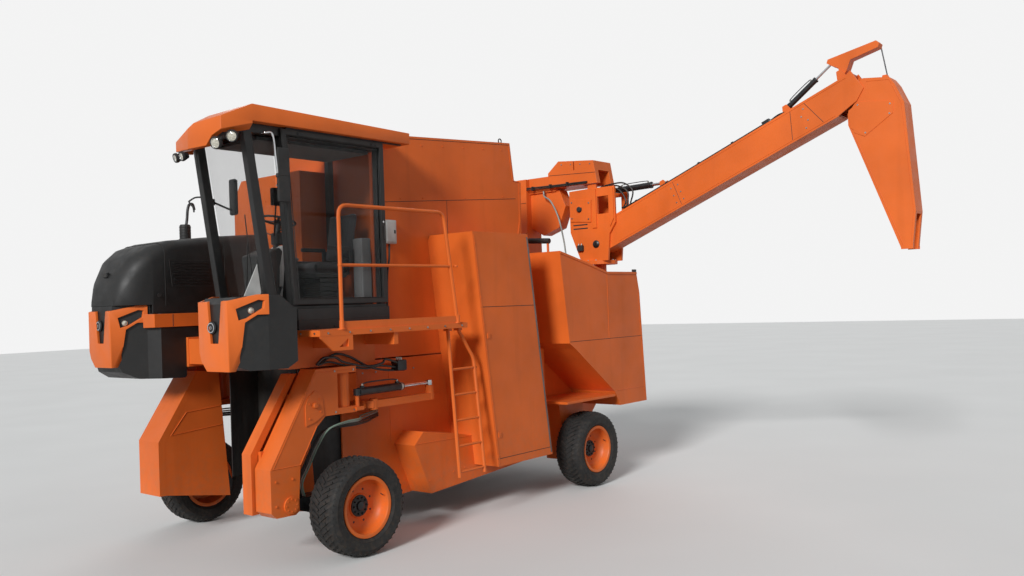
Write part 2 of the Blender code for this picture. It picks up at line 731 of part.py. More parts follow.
def make_rotor(side_name, side):
    """The shaker: an upright drum, leaning with its housing, whose facets grow into rows of long rods."""
    middle_low = (housing_edge(ROTOR_LOW, True) + housing_edge(ROTOR_LOW, False)) / 2
    middle_top = (housing_edge(ROTOR_TOP, True) + housing_edge(ROTOR_TOP, False)) / 2
    axis = axis_at("rotor_axis_" + side_name, (ROTOR_X * side, (middle_low + middle_top) / 2, (ROTOR_LOW + ROTOR_TOP) / 2))
    low = Vector((ROTOR_X * side, middle_low, ROTOR_LOW))
    top = Vector((ROTOR_X * side, middle_top, ROTOR_TOP))
    lean = math.atan2(low.y - top.y, top.z - low.z)
    length = (top - low).length
    trim = ROTOR_SHAFT * math.tan(lean)
    bm = bmesh.new()
    pitch = (length - 2 * trim) / ROTOR_LAYERS
    bmesh.ops.create_cone(
        bm, cap_ends=True, segments=ROTOR_RODS, radius1=ROTOR_SHAFT, radius2=ROTOR_SHAFT, depth=length - 2 * trim,
    )
    for i in range(1, ROTOR_LAYERS):
        height = -(length - 2 * trim) / 2 + pitch * i
        whole = list(bm.verts) + list(bm.edges) + list(bm.faces)
        bmesh.ops.bisect_plane(bm, geom=whole, plane_co=(0, 0, height), plane_no=(0, 0, 1))
    facets = [f for f in bm.faces if abs(f.normal.z) < 0.5]
    width = 2 * ROTOR_SHAFT * math.sin(math.pi / ROTOR_RODS)
    for facet in facets:
        normal = facet.normal.copy()
        centre = facet.calc_center_median()
        layer = round((centre.z + length / 2) / pitch)
        row = round(math.atan2(centre.y, centre.x) / (2 * math.pi / ROTOR_RODS) - 0.5)
        if (layer + row) % 2:
            continue
        bmesh.ops.inset_individual(bm, faces=[facet], thickness=(width - ROD_WIDTH) / 2, depth=0.0)
        corners = list(facet.verts)
        for corner in corners:
            lift = math.copysign(ROD_WIDTH / 2, corner.co.z - centre.z)
            corner.co.z = centre.z + lift
        rod_end = bmesh.ops.extrude_discrete_faces(bm, faces=[facet])["faces"][0]
        reach = ROTOR_RADIUS - ROTOR_SHAFT * math.cos(math.pi / ROTOR_RODS)
        for corner in rod_end.verts:
            corner.co += normal * reach
    turn = Matrix.Rotation(lean, 4, "X")
    bm.transform(Matrix.Translation((low + top) / 2) @ turn)
    part("shaker_rotor_" + side_name, shape_from("rotor", bm), "dark_metal", axis)


COLLECTOR_PLATES = 14
COLLECTOR_FRONT = -1.60
COLLECTOR_REAR = 3.10


def make_collector(side_name, side):
    """The tunnel's floor on one side: a row of overlapping plates, hung on a rail along the wall."""
    edge = TUNNEL_HALF - SEAT
    low, high = span(side, edge - 0.05, edge)
    rail = box((low, COLLECTOR_FRONT, 0.53), (high, COLLECTOR_REAR, 0.585))
    pitch = (COLLECTOR_REAR - COLLECTOR_FRONT) / COLLECTOR_PLATES
    plates = []
    for i in range(COLLECTOR_PLATES):
        start = COLLECTOR_FRONT + pitch * i + 0.02
        step = 0.008 * (i % 2)
        slope = [(edge - 0.01, 0.56 + step), (0.12, 0.46 + step), (0.12, 0.466 + step), (edge - 0.01, 0.566 + step)]
        plates.append(plate(mirrored(slope, side), "Y", start, start + pitch - 0.012))
    part("collector_" + side_name, fuse(rail, *plates), "cast_metal")


def make_curtain():
    """Black rubber flaps over the tunnel's mouth, hung on one rail, with a slanted guide flap on each side."""
    rail_z = BEAM_LOW + 0.03 - SEAT
    y = -1.70
    side_top = BEAM_LOW - 0.025
    inner = TUNNEL_HALF - BEAM_WIDTH
    edge = TUNNEL_HALF - 0.015
    rail = box((-inner + 0.01, y, rail_z - 0.04), (inner - 0.01, y + 0.03, rail_z))
    half = [
        (0.012, rail_z - 0.005), (inner - 0.04, rail_z - 0.005), (inner - 0.04, side_top), (edge, side_top),
        (edge, 0.62), (edge - 0.085, 0.62), (0.30, 0.42), (0.012, 0.42),
    ]
    guide = [(edge, y + 0.012), (edge - 0.13, y - 0.46), (edge - 0.142, y - 0.457), (edge - 0.013, y + 0.016)]
    flaps = [plate(mirrored(half, side), "Y", y + 0.008, y + 0.02) for _, side in SIDES]
    guides = [plate(mirrored(guide, side), "Z", 0.62, side_top - 0.003) for _, side in SIDES]
    part("curtain", fuse(rail, *flaps, *guides), "rubber_sheet")


# Upper body
def make_upper_body():
    """The hollow upper body, open below, with the radiator housing in front of it on the right."""
    outline = [
        (BODY_FRONT, BEAM_TOP + SEAT),
        (BODY_FRONT, BODY_TOP_FRONT),
        (1.39, BODY_TOP_REAR),
        (1.46, 4.21),
        (1.60, 4.20),
        (1.58, 3.50),
        (HOPPER_FRONT - 0.03, 3.28),
        (HOPPER_FRONT - 0.03, BEAM_TOP + SEAT),
    ]
    body = plate(outline, "X", -BODY_HALF, BODY_HALF)
    inside = [
        (BODY_FRONT + SHEET, BEAM_TOP - 0.1),
        (BODY_FRONT + SHEET, BODY_TOP_FRONT - SHEET),
        (1.37, BODY_TOP_REAR - SHEET),
        (1.37, BEAM_TOP - 0.1),
    ]
    hollow = plate(inside, "X", -BODY_HALF + SHEET, BODY_HALF - SHEET)
    housing = plate(
        mirrored([(1.22, BEAM_TOP + 0.01), (1.22, 3.95), (1.05, 4.17), (-0.12, 4.17), (-0.12, BEAM_TOP + 0.01)], -1),
        "Y", BODY_FRONT - 0.47, BODY_FRONT + 0.01,
    )
    screen = box((-1.16, BODY_FRONT - 0.43, BEAM_TOP + 0.06), (-0.85, BODY_FRONT - 0.04, 3.90))
    grille = box((-1.30, BODY_FRONT - 0.38, BEAM_TOP + 0.35), (-1.10, BODY_FRONT - 0.09, 3.75))
    part("upper_body", cut(fuse(body, housing), hollow, screen, grille), "orange_paint")


HOPPER_SIDE = [
    (HOPPER_FRONT, HOPPER_TOP),
    (2.00, 3.06),
    (2.50, 2.93),
    (3.26, 2.93),
    (3.33, 2.62),
    (HOPPER_REAR, HOPPER_LOW),
    (2.72, HOPPER_LOW),
    (2.58, 1.24),
    (1.68, 1.89),
    (1.55, 1.97),
]


def make_hopper():
    """The open tank over the rear wheels, saddled on the tunnel."""
    outer = plate(HOPPER_SIDE, "X", -HOPPER_HALF, HOPPER_HALF)
    saddle = box((-TUNNEL_HALF - SHEET - 0.002, 1.0, 0.5), (TUNNEL_HALF + SHEET + 0.002, HOPPER_REAR + 0.2, BEAM_TOP + SEAT))
    thick = HOPPER_SHEET
    inner_side = [
        (HOPPER_FRONT + thick + 0.004, HOPPER_TOP),
        (HOPPER_FRONT + thick - 0.02, HOPPER_TOP + 0.2),
        (3.17, HOPPER_TOP + 0.2),
        (3.297, 2.61),
        (HOPPER_REAR - thick - 0.01, HOPPER_LOW + thick),
        (2.74, HOPPER_LOW + thick),
        (2.60, 1.24 + thick),
        (1.70, 1.89 + thick),
        (1.583, 1.975 + thick),
    ]
    pockets = [
        plate(inner_side, "X", *span(side, TUNNEL_HALF + SHEET + 0.03, HOPPER_HALF - thick)) for _, side in SIDES
    ]
    middle_side = [
        (HOPPER_FRONT + thick + 0.004, HOPPER_TOP),
        (HOPPER_FRONT + thick - 0.02, HOPPER_TOP + 0.2),
        (3.17, HOPPER_TOP + 0.2),
        (3.297, 2.61),
        (3.32, BEAM_TOP + SEAT + thick),
        (1.545, BEAM_TOP + SEAT + thick),
    ]
    middle = plate(middle_side, "X", -TUNNEL_HALF - SHEET - 0.04, TUNNEL_HALF + SHEET + 0.04)
    part("hopper", cut(outer, saddle, *pockets, middle), "orange_paint")


# Cab
SCREEN_LOW = (-2.80, CAB_FLOOR)
SCREEN_TOP = (-3.08, CAB_TOP)
CORNER_Y = -2.52
VISOR_PLAN = [(1.22, -3.03), (1.13, -3.33), (0.70, VISOR_FRONT), (0.32, -3.33), (0.19, -3.095)]
VISOR_BACK = [(0.26, -3.095), (0.37, -3.28), (0.70, VISOR_FRONT + 0.07), (1.08, -3.28), (1.155, -3.03)]


def make_cab():
    """Base, pillars with the roof frame, roof, glass, seat and steering column."""
    base = plate([(CAB_LEFT, -2.85), (CAB_LEFT, CAB_REAR), (CAB_RIGHT, CAB_REAR), (CAB_RIGHT, -2.85)], "Z", BASE_LOW, CAB_FLOOR)
    lip = box((CAB_LEFT - 0.03, -2.52, BASE_LOW + 0.02), (CAB_LEFT + 0.045, CAB_REAR, CAB_FLOOR - 0.03))
    pod_profile = [
        (-2.80, 2.05), (-2.92, NOSE_LOW), (-3.28, NOSE_LOW), (-3.39, 2.03), (POD_FRONT, 2.14),
        (POD_FRONT, 2.62), (-3.38, 2.68), (-2.98, 2.69), (-2.84, 2.575), (-2.80, 2.57),
    ]
    pod = plate(pod_profile, "X", NOSE_X - POD_HALF, NOSE_X + POD_HALF)
    pod_plan = [(POD_HALF, -2.7)] + POD_PLAN + [(-POD_HALF, -2.7)]
    pod = keep(pod, plate([(u + NOSE_X, v) for u, v in pod_plan], "Z", 1.8, 3.0))
    neck = box((CAB_RIGHT + 0.05, -2.88, BASE_LOW + 0.01), (CAB_LEFT - 0.01, -2.78, CAB_FLOOR - 0.01))
    part("cab_base", fuse(base, lip, pod, neck), "black_plastic")

    front_top = SCREEN_TOP[0]
    posts = [
        ((CAB_RIGHT + 0.04, SCREEN_LOW[0] + 0.03, CAB_FLOOR + SEAT), (CAB_RIGHT + 0.04, front_top + 0.03, CAB_TOP)),
        ((CAB_LEFT - 0.04, SCREEN_LOW[0] + 0.03, CAB_FLOOR + SEAT), (CAB_LEFT - 0.04, front_top + 0.03, CAB_TOP)),
        ((CAB_LEFT - 0.04, CORNER_Y, CAB_FLOOR + SEAT), (CAB_LEFT - 0.04, CORNER_Y - 0.10, CAB_TOP)),
        ((CAB_LEFT - 0.04, CAB_REAR - 0.045, CAB_FLOOR + SEAT), (CAB_LEFT - 0.04, CAB_REAR - 0.045, CAB_TOP)),
        ((CAB_RIGHT + 0.04, CAB_REAR - 0.045, CAB_FLOOR + SEAT), (CAB_RIGHT + 0.04, CAB_REAR - 0.045, CAB_TOP)),
    ]
    ring = plate(
        [(CAB_LEFT, front_top), (CAB_LEFT, CAB_REAR), (CAB_RIGHT, CAB_REAR), (CAB_RIGHT, front_top)],
        "Z", CAB_TOP - 0.09, CAB_TOP,
    )
    middle = box((CAB_RIGHT + 0.09, front_top + 0.09, CAB_TOP - 0.2), (CAB_LEFT - 0.09, CAB_REAR - 0.09, CAB_TOP - 0.03))
    pillars = []
    for foot, head in posts:
        foot, head = Vector(foot), Vector(head)
        lean = head.y - foot.y
        half = PILLAR / 2
        pillars.append(
            plate(
                [(foot.y - half, foot.z), (foot.y + half, foot.z), (foot.y + lean + half, head.z - 0.01), (foot.y + lean - half, head.z - 0.01)],
                "X", foot.x - half + 0.002, foot.x + half - 0.002,
            )
        )
    part("cab_frame", cut(fuse(ring, *pillars), middle), "black_plastic")

    step = BODY_FRONT - SWING
    plan = [(1.22, -0.92)] + VISOR_PLAN + [(0.12, -2.9), (0.08, step), (BODY_HALF + SWING, step), (BODY_HALF + SWING, -0.92)]
    slab = plate(plan, "Z", CAB_TOP + SEAT, CAB_TOP + 0.25)
    crown = plate([(-0.5, 4.52), (-3.03, 4.57), (-3.60, 4.305), (-3.60, 5.0), (-0.5, 5.0)], "X", -0.2, 1.5)
    shoulder = block_on((0.19, -3.09, 4.42), (0.32, -3.33, 4.28), (0.80, -3.36, 4.44))
    visor = plate(VISOR_PLAN + VISOR_BACK, "Z", 4.10, CAB_TOP + 0.05)
    brow = [
        (-0.1, 4.0), (-0.1, 4.19), (0.20, 4.19), (0.68, 4.15), (0.93, 4.16),
        (1.01, 4.25), (1.13, 4.30), (1.23, 4.39), (1.4, 4.39), (1.4, 4.0),
    ]
    roof = cut(fuse(slab, visor), crown, shoulder, plate(brow, "Y", -3.7, -2.9))
    part("cab_roof", roof, "orange_paint")
    make_glass()
    make_seat()


def make_glass():
    """One folded sheet of glass behind the front, right and rear pillars."""
    inset = 0.006
    low_z, top_z = CAB_FLOOR + SEAT, CAB_TOP - 0.09 - SEAT
    gap = 0.085
    bm = bmesh.new()
    left, right, rear = CAB_LEFT - gap, CAB_RIGHT + gap, CAB_REAR - gap - 0.01
    rows = []
    lean = (SCREEN_TOP[0] - SCREEN_LOW[0]) / (CAB_TOP - CAB_FLOOR)
    for z in (low_z, top_z):
        front = SCREEN_LOW[0] + gap + lean * (z - CAB_FLOOR)
        corner = CORNER_Y - 0.07 + lean * 0.35 * (z - CAB_FLOOR)
        folds = ((left, corner, z), (left, front, z), (right, front, z), (right, rear, z), (left, rear, z))
        rows.append([bm.verts.new(p) for p in folds])
    for i in range(4):
        bm.faces.new((rows[0][i], rows[0][i + 1], rows[1][i + 1], rows[1][i]))
    mesh = bpy.data.meshes.new("glass")
    bm.to_mesh(mesh)
    bm.free()
    glass = shape("glass", mesh)
    wall = glass.modifiers.new("wall", "SOLIDIFY")
    wall.thickness = inset
    wall.offset = 0.0
    part("cab_glass", glass, "glass")


SEAT_X = 0.66
SEAT_Y = -1.78


def make_seat():
    """Operator's seat on its pedestal, and the steering column with its wheel."""
    pedestal = box((SEAT_X - 0.17, SEAT_Y - 0.20, CAB_FLOOR + SEAT), (SEAT_X + 0.17, SEAT_Y + 0.18, CAB_FLOOR + 0.36))
    cushion = plate(
        [
            (SEAT_Y - 0.28, 2.93), (SEAT_Y - 0.30, 3.00), (SEAT_Y - 0.26, 3.06), (SEAT_Y + 0.16, 3.04),
            (SEAT_Y + 0.27, 3.62), (SEAT_Y + 0.33, 3.66), (SEAT_Y + 0.37, 3.60), (SEAT_Y + 0.25, 2.93),
        ],
        "X", SEAT_X - 0.25, SEAT_X + 0.25,
    )
    part("operator_seat", fuse(pedestal, cushion), "grey_cloth")
    foot = Vector((SEAT_X, -2.48, CAB_FLOOR + SEAT))
    head = Vector((SEAT_X, -2.26, 3.36))
    column_side = [(-2.56, foot.z), (-2.36, foot.z), (head.y + 0.03, head.z), (head.y - 0.07, head.z + 0.02)]
    column = plate(column_side, "X", SEAT_X - 0.07, SEAT_X + 0.07)
    hub = round_bar(head - Vector((0, 0.02, 0.03)), head + Vector((0, 0.02, 0.075)), 0.035, 12)
    bm = bmesh.new()
    bmesh.ops.create_circle(bm, segments=16, radius=0.19)
    ring_points = [v.co.copy() for v in bm.verts]
    bm.free()
    tilt = Matrix.Translation(head + Vector((0, 0.02, 0.06))) @ Matrix.Rotation(math.radians(-14), 4, "X")
    curve = bpy.data.curves.new("ring", "CURVE")
    curve.dimensions = "3D"
    curve.bevel_depth = 0.014
    curve.bevel_resolution = 1
    spline = curve.splines.new("POLY")
    spline.points.add(len(ring_points) - 1)
    for point, place in zip(spline.points, ring_points):
        point.co = (*(tilt @ place), 1)
    spline.use_cyclic_u = True
    ring = from_curve("ring", curve, Matrix.Identity(4))
    spokes = []
    for degrees in (90, 210, 330):
        way = Vector((math.cos(math.radians(degrees)), math.sin(math.radians(degrees)), 0))
        spokes.append(tube([tilt @ (way * 0.01), tilt @ (way * 0.185)], 0.012, 1))
    part("steering_column", fuse(column, hub, ring, *spokes), "black_plastic")


def make_door():
    """The sliding door in the cab's left side, with its window cut and glazed."""
    axis = axis_at("door_slide", (CAB_LEFT, CORNER_Y, CAB_FLOOR))
    low, high = CAB_LEFT + SEAT, CAB_LEFT + SEAT + DOOR_THICK
    front = CORNER_Y - 0.04
    rear = CAB_REAR - 0.005
    top = CAB_TOP - 0.015
    bottom = CAB_FLOOR + 0.012
    lean = -0.10
    frame = plate([(front, bottom), (rear, bottom), (rear, top), (front + lean, top)], "X", low, high)
    edge = 0.06
    pane = [(front + edge, bottom + edge), (rear - edge, bottom + edge), (rear - edge, top - edge), (front + lean + edge, top - edge)]
    window = plate(pane, "X", low - 0.05, high + 0.05)
    groove = [(u + (0.012 if u > -1.9 else -0.012), v + (0.012 if v > 3.5 else -0.012)) for u, v in pane]
    slot = plate(groove, "X", low + 0.012, high - 0.012)
    part("door", cut(frame, window, slot), "black_plastic", axis)
    inner = [(u + (0.010 if u > -1.9 else -0.010), v + (0.010 if v > 3.5 else -0.010)) for u, v in pane]
    glass = plate(inner, "X", low + 0.012 + SEAT, high - 0.012 - SEAT)
    part("door_glass", glass, "glass", axis)


# Bonnet, engine and noses
BONNET_SECTIONS = [
    # y, half width, top, shoulder radius
    (BONNET_REAR, 0.490, 3.480, 0.11),
    (-2.20, 0.490, 3.445, 0.12),
    (-2.85, 0.490, 3.375, 0.14),
    (-3.08, 0.475, 3.300, 0.17),
    (-3.25, 0.420, 3.180, 0.20),
    (-3.37, 0.335, 3.000, 0.20),
    (-3.43, 0.255, 2.820, 0.16),
]


def make_bonnet():
    """The engine's hinged bonnet: a rounded shell, open below and at the rear."""
    axis = axis_at("bonnet_hinge", (BONNET_X, BONNET_REAR, 3.46))
    t = BONNET_SHEET
    low = STRIPE_TOP + SEAT
    skin = loft([(y, arched(half, low, top, radius)) for y, half, top, radius in BONNET_SECTIONS], BONNET_X)
    inner = []
    for y, half, top, radius in BONNET_SECTIONS:
        back = y + (t if y < -2.9 else 0)
        inner.append((back, arched(half - t, low - 0.1, top - t, radius - t)))
    inner[0] = (BONNET_REAR + 0.1, inner[0][1])
    step = box((BONNET_X - 0.6, NOSE_FRONT - 0.1, low - 0.1), (BONNET_X + 0.6, BROW_REAR + SEAT, BROW_TOP + SEAT))
    part("bonnet", cut(skin, loft(inner, BONNET_X), step), "black_plastic", axis)


def make_engine_bay():
    """The black belly under the bonnet, its side band, and the engine as one plain block."""
    rear_low = DECK_LOW + DECK_SHEET + SEAT
    belly = plate(
        [
            (-1.72, rear_low), (-2.62, rear_low), (-2.74, 1.83), (-3.20, 1.85), (-3.36, 1.93), (POD_FRONT, 2.12),
            (POD_FRONT, BROW_TOP), (BROW_REAR, BROW_TOP), (BROW_REAR, STRIPE_TOP), (-1.72, STRIPE_TOP),
        ],
        "X", BONNET_X - BONNET_HALF, BONNET_X + BONNET_HALF,
    )
    left_flank = [(BONNET_HALF, -1.6), (BONNET_HALF, -3.02)]
    right_flank = [(-BONNET_HALF, -3.02), (-BONNET_HALF, -1.6)]
    plan = left_flank + POD_PLAN + right_flank
    belly = keep(belly, plate([(BONNET_X + u, v) for u, v in plan], "Z", 1.7, 2.8))
    well = box((BONNET_X - BONNET_HALF + 0.03, -3.05, rear_low + 0.04), (-TUNNEL_HALF - 0.04, -1.60, STRIPE_TOP + 0.2))
    beam = box((-TUNNEL_HALF - SEAT, FRAME_FRONT - SEAT, 1.8), (-0.4, -1.5, BEAM_TOP + SEAT))
    part("engine_tray", cut(belly, well, beam), "black_plastic")
    block = box((BONNET_X - 0.36, -2.95, rear_low + 0.04 + SEAT), (-TUNNEL_HALF - 0.06, -1.85, 3.05))
    part("engine_block", block, "cast_metal")


def make_nose(side_name, x, top):
    """The U-shaped orange bezel on a pod's front, with a slot for the lamp and an eye on each flank."""
    around = [(POD_HALF, -2.9)] + POD_PLAN + [(-POD_HALF, -2.9)]
    inner = grown(around, SEAT)[1:-1]
    outer = grown(around, SEAT + NOSE_SHEET)[1:-1]
    ring = plate([(u + x, v) for u, v in outer + inner[::-1]], "Z", NOSE_LOW - 0.05, top + 0.05)
    side_view = [
        (NOSE_FRONT - 0.02, NOSE_LOW), (NOSE_FRONT - 0.02, top - 0.06), (POD_SHOULDER - 0.10, top), (POD_SHOULDER + 0.03, top),
        (POD_SHOULDER + 0.03, top - 0.19), (POD_SHOULDER - 0.10, top - 0.19), (POD_SHOULDER - 0.20, top - 0.26),
        (POD_SHOULDER - 0.24, 2.12), (POD_SHOULDER - 0.22, NOSE_LOW),
    ]
    front_view = [
        (-0.45, top + 0.02), (-0.45, 2.44), (-0.27, 2.24), (-0.21, 2.08), (-0.12, NOSE_LOW),
        (0.25, NOSE_LOW), (0.30, 2.20), (0.45, 2.49), (0.45, top + 0.02),
    ]
    slot = [(-0.10, top + 0.1), (-0.045, 2.25), (0.085, 2.25), (0.17, top + 0.1)]
    eye = [
        (NOSE_FRONT + 0.09, top - 0.24), (NOSE_FRONT + 0.07, top - 0.13), (POD_SHOULDER - 0.09, top - 0.05),
        (POD_SHOULDER - 0.04, top - 0.06), (POD_SHOULDER - 0.05, top - 0.13), (NOSE_FRONT + 0.16, top - 0.22),
    ]
    ring = keep(ring, plate(side_view, "X", x - 0.6, x + 0.6))
    ring = keep(ring, plate([(u + x, v) for u, v in front_view], "Y", NOSE_FRONT - 0.1, -2.8))
    lamp = plate([(u + x, v) for u, v in slot], "Y", NOSE_FRONT - 0.1, NOSE_FRONT + NOSE_SHEET + 0.02)
    part("nose_" + side_name, cut(ring, lamp, plate(eye, "X", x - 0.6, x + 0.6)), "orange_paint")


# Platform
def make_platform():
    """Walkway beside the cab with its bracket and the guard rail."""
    front, rear = -2.60, -0.46
    inner = max(CAB_LEFT + 0.06, DECK_HALF + 0.08)
    deck = box((inner, front, PLATFORM_LOW), (PLATFORM_OUTER, rear, PLATFORM_TOP))
    bracket = plate(
        [
            (front, PLATFORM_LOW + 0.02), (front + 0.02, PLATFORM_LOW - 0.02), (front + 0.17, 2.12),
            (front + 0.42, 2.12), (front + 0.42, PLATFORM_LOW + 0.02),
        ],
        "X", PLATFORM_OUTER - 0.03, PLATFORM_OUTER - 0.002,
    )
    window = [(front + 0.24, 2.155), (front + 0.36, 2.155), (front + 0.36, 2.235)]
    bracket = cut(bracket, plate(window, "X", PLATFORM_OUTER - 0.1, PLATFORM_OUTER + 0.1))
    beams = [box((DECK_HALF + SEAT, y, 2.14), (PLATFORM_OUTER - 0.02, y + 0.06, PLATFORM_LOW + 0.01)) for y in (-2.30, -1.60)]
    rail_x = PLATFORM_OUTER - 0.025
    rail_route = [
        (rail_x, -2.30, PLATFORM_TOP - 0.02), (rail_x, -2.30, RAIL_TOP),
        (rail_x, -0.78, RAIL_TOP), (rail_x, -0.60, PLATFORM_TOP - 0.02),
    ]
    top_rail = tube(bent(rail_route, 0.11), RAIL_RADIUS)
    mid_rail = tube([(rail_x, -2.30, 2.98), (rail_x, -0.70, 2.98)], RAIL_RADIUS * 0.8)
    toe = box((rail_x - 0.008, -2.32, PLATFORM_TOP - 0.01), (rail_x + 0.008, -0.62, PLATFORM_TOP + 0.08))
    part("platform", fuse(deck, bracket, *beams, top_rail, mid_rail, toe), "orange_paint")


def make_ladder():
    """Ladder at the walkway's rear end, its foot set outwards and its rear rail hooked forwards at the top."""
    top = PLATFORM_LOW - SEAT
    head, foot = Vector((1.47, -0.66, PLATFORM_LOW - 0.006)), Vector((1.60, -0.68, 0.57))
    width = Vector((0, 0.43, 0))
    hook = [foot + width, Vector((1.50, -0.27, 1.90)), Vector((1.475, -0.49, PLATFORM_LOW - 0.022))]
    stiles = [tube([head, foot], 0.021, 2), tube(bent(hook, 0.2), 0.021, 2)]
    rungs = []
    for i in range(5):
        place = foot.lerp(head, 0.035 + 0.172 * i)
        rungs.append(tube([place, place + width], 0.016, 1))
    pads = [box((1.43, y - 0.03, top - 0.03), (1.51, y + 0.03, top)) for y in (head.y, hook[2].y)]
    part("ladder", fuse(stiles[0], stiles[1], *rungs, *pads), "orange_paint")


# Discharge
def boom_frame():
    """The boom's own frame: along it from its root's lower corner, up across it, and the machine's Y."""
    angle = math.radians(BOOM_ANGLE)
    along = Vector((math.cos(angle), 0, math.sin(angle)))
    across = Vector((-math.sin(angle), 0, math.cos(angle)))
    return Vector((BOOM_ROOT_X, 0, BOOM_ROOT_Z)), along, across


def boom_point(s, h):
    """A point in the boom's side view, s along and h across, as (x, z)."""
    root, along, across = boom_frame()
    place = root + along * s + across * h
    return (place.x, place.z)


LIFT_BARREL_PIN = (1.39, 4.14)
LIFT_ROD_PIN = boom_point(1.36, BOOM_HEIGHT + 0.075)
CRANK_PIVOT = (4.80, 5.245)
CRANK_TAIL = (4.655, 5.39)
CRANK_TIP = (5.225, 5.505)
SPOUT_ROD_PIN = (5.29, 5.115)
SPOUT_BARREL_AT = 3.36
SPOUT_BARREL_PIN = boom_point(SPOUT_BARREL_AT, BOOM_HEIGHT + 0.08)


HEAD_LOW = 4.26
HEAD_TOP = 4.66
HEAD_HALF = 0.23


EYE_HALF = 0.048
LEVER_HALF = 0.07
PIN_RADIUS = 0.018


def make_discharge_head():
    """The fixed elevator that rises out of the hopper, its cross chute, and the turret's post."""
    floor = BEAM_TOP + 2 * SEAT + HOPPER_SHEET
    column = box((-0.55, 2.84, floor), (-0.10, 3.19, 4.45))
    chute = box((-0.45, 2.93, 4.22), (0.40, 3.19, 4.46))
    head = plate(
        [(0.30, HEAD_LOW), (0.30, HEAD_TOP - 0.16), (0.50, HEAD_TOP), (1.14, HEAD_TOP - 0.06), (1.20, HEAD_LOW)],
        "Y", TURRET_Y - HEAD_HALF, TURRET_Y + HEAD_HALF,
    )
    gap = box((0.775, TURRET_Y - HEAD_HALF - 0.1, HEAD_TOP - 0.17), (0.795, TURRET_Y + HEAD_HALF + 0.1, HEAD_TOP + 0.1))
    duct = plate([(-0.12, 4.24), (0.45, 4.24), (0.56, 3.98), (0.42, 3.66), (0.12, 3.56), (-0.12, 3.70)], "Y", 2.96, 3.16)
    mouth = box((0.88, TURRET_Y - 0.14, HEAD_LOW - 0.1), (1.20, TURRET_Y + 0.14, HEAD_LOW + 0.2))
    stand = box((-0.15, 3.02, floor + 0.05), (1.00, 3.18, floor + 0.30))
    post = round_bar((TURRET_X, TURRET_Y, floor + 0.05), (TURRET_X, TURRET_Y, TURRET_FOOT), 0.09, 16)
    part("discharge_head", cut(fuse(column, chute, duct, head, stand, post), mouth, gap), "orange_paint")


def make_turret(axis):
    """The slewing turret: a round foot and two windowed cheeks that hold the boom's root."""
    half = BOOM_WIDTH / 2 + SEAT
    foot = round_bar((TURRET_X, TURRET_Y, TURRET_FOOT + SEAT), (TURRET_X, TURRET_Y, TURRET_FOOT + 0.06), 0.26, 16)
    rim = HEAD_LOW - SWING
    cheek_outline = [
        (0.84, TURRET_FOOT + 0.05), (0.66, 3.56), (0.66, 4.18), (1.00, 4.19), (1.00, rim), (1.15, rim), (1.15, 4.19), (1.47, 4.19),
        (1.47, 3.66), (1.36, 3.50), (1.32, TURRET_FOOT + 0.05),
    ]
    window = [(1.16, 3.80), (1.16, 4.06), (1.36, 4.06), (1.36, 3.80)]
    cheeks = []
    for sign in (1, -1):
        low = TURRET_Y + sign * half if sign > 0 else TURRET_Y - half - CHEEK
        cheeks.append(plate(cheek_outline, "Y", low, low + CHEEK))
    opening = plate(window, "Y", TURRET_Y - 0.4, TURRET_Y + 0.4)
    back = box((0.83, TURRET_Y - half - 0.01, TURRET_FOOT + 0.04), (0.87, TURRET_Y + half + 0.01, 3.58))
    boss = round_bar((0.84, TURRET_Y - half - CHEEK - 0.03, 3.90), (0.84, TURRET_Y - half - 0.01, 3.90), 0.05, 12)
    pin = round_bar(
        (LIFT_BARREL_PIN[0], TURRET_Y - half - 0.01, LIFT_BARREL_PIN[1]),
        (LIFT_BARREL_PIN[0], TURRET_Y + half + 0.01, LIFT_BARREL_PIN[1]), PIN_RADIUS, 12,
    )
    part("turret", cut(fuse(foot, *cheeks, back, boss, pin), opening), "orange_paint", axis)


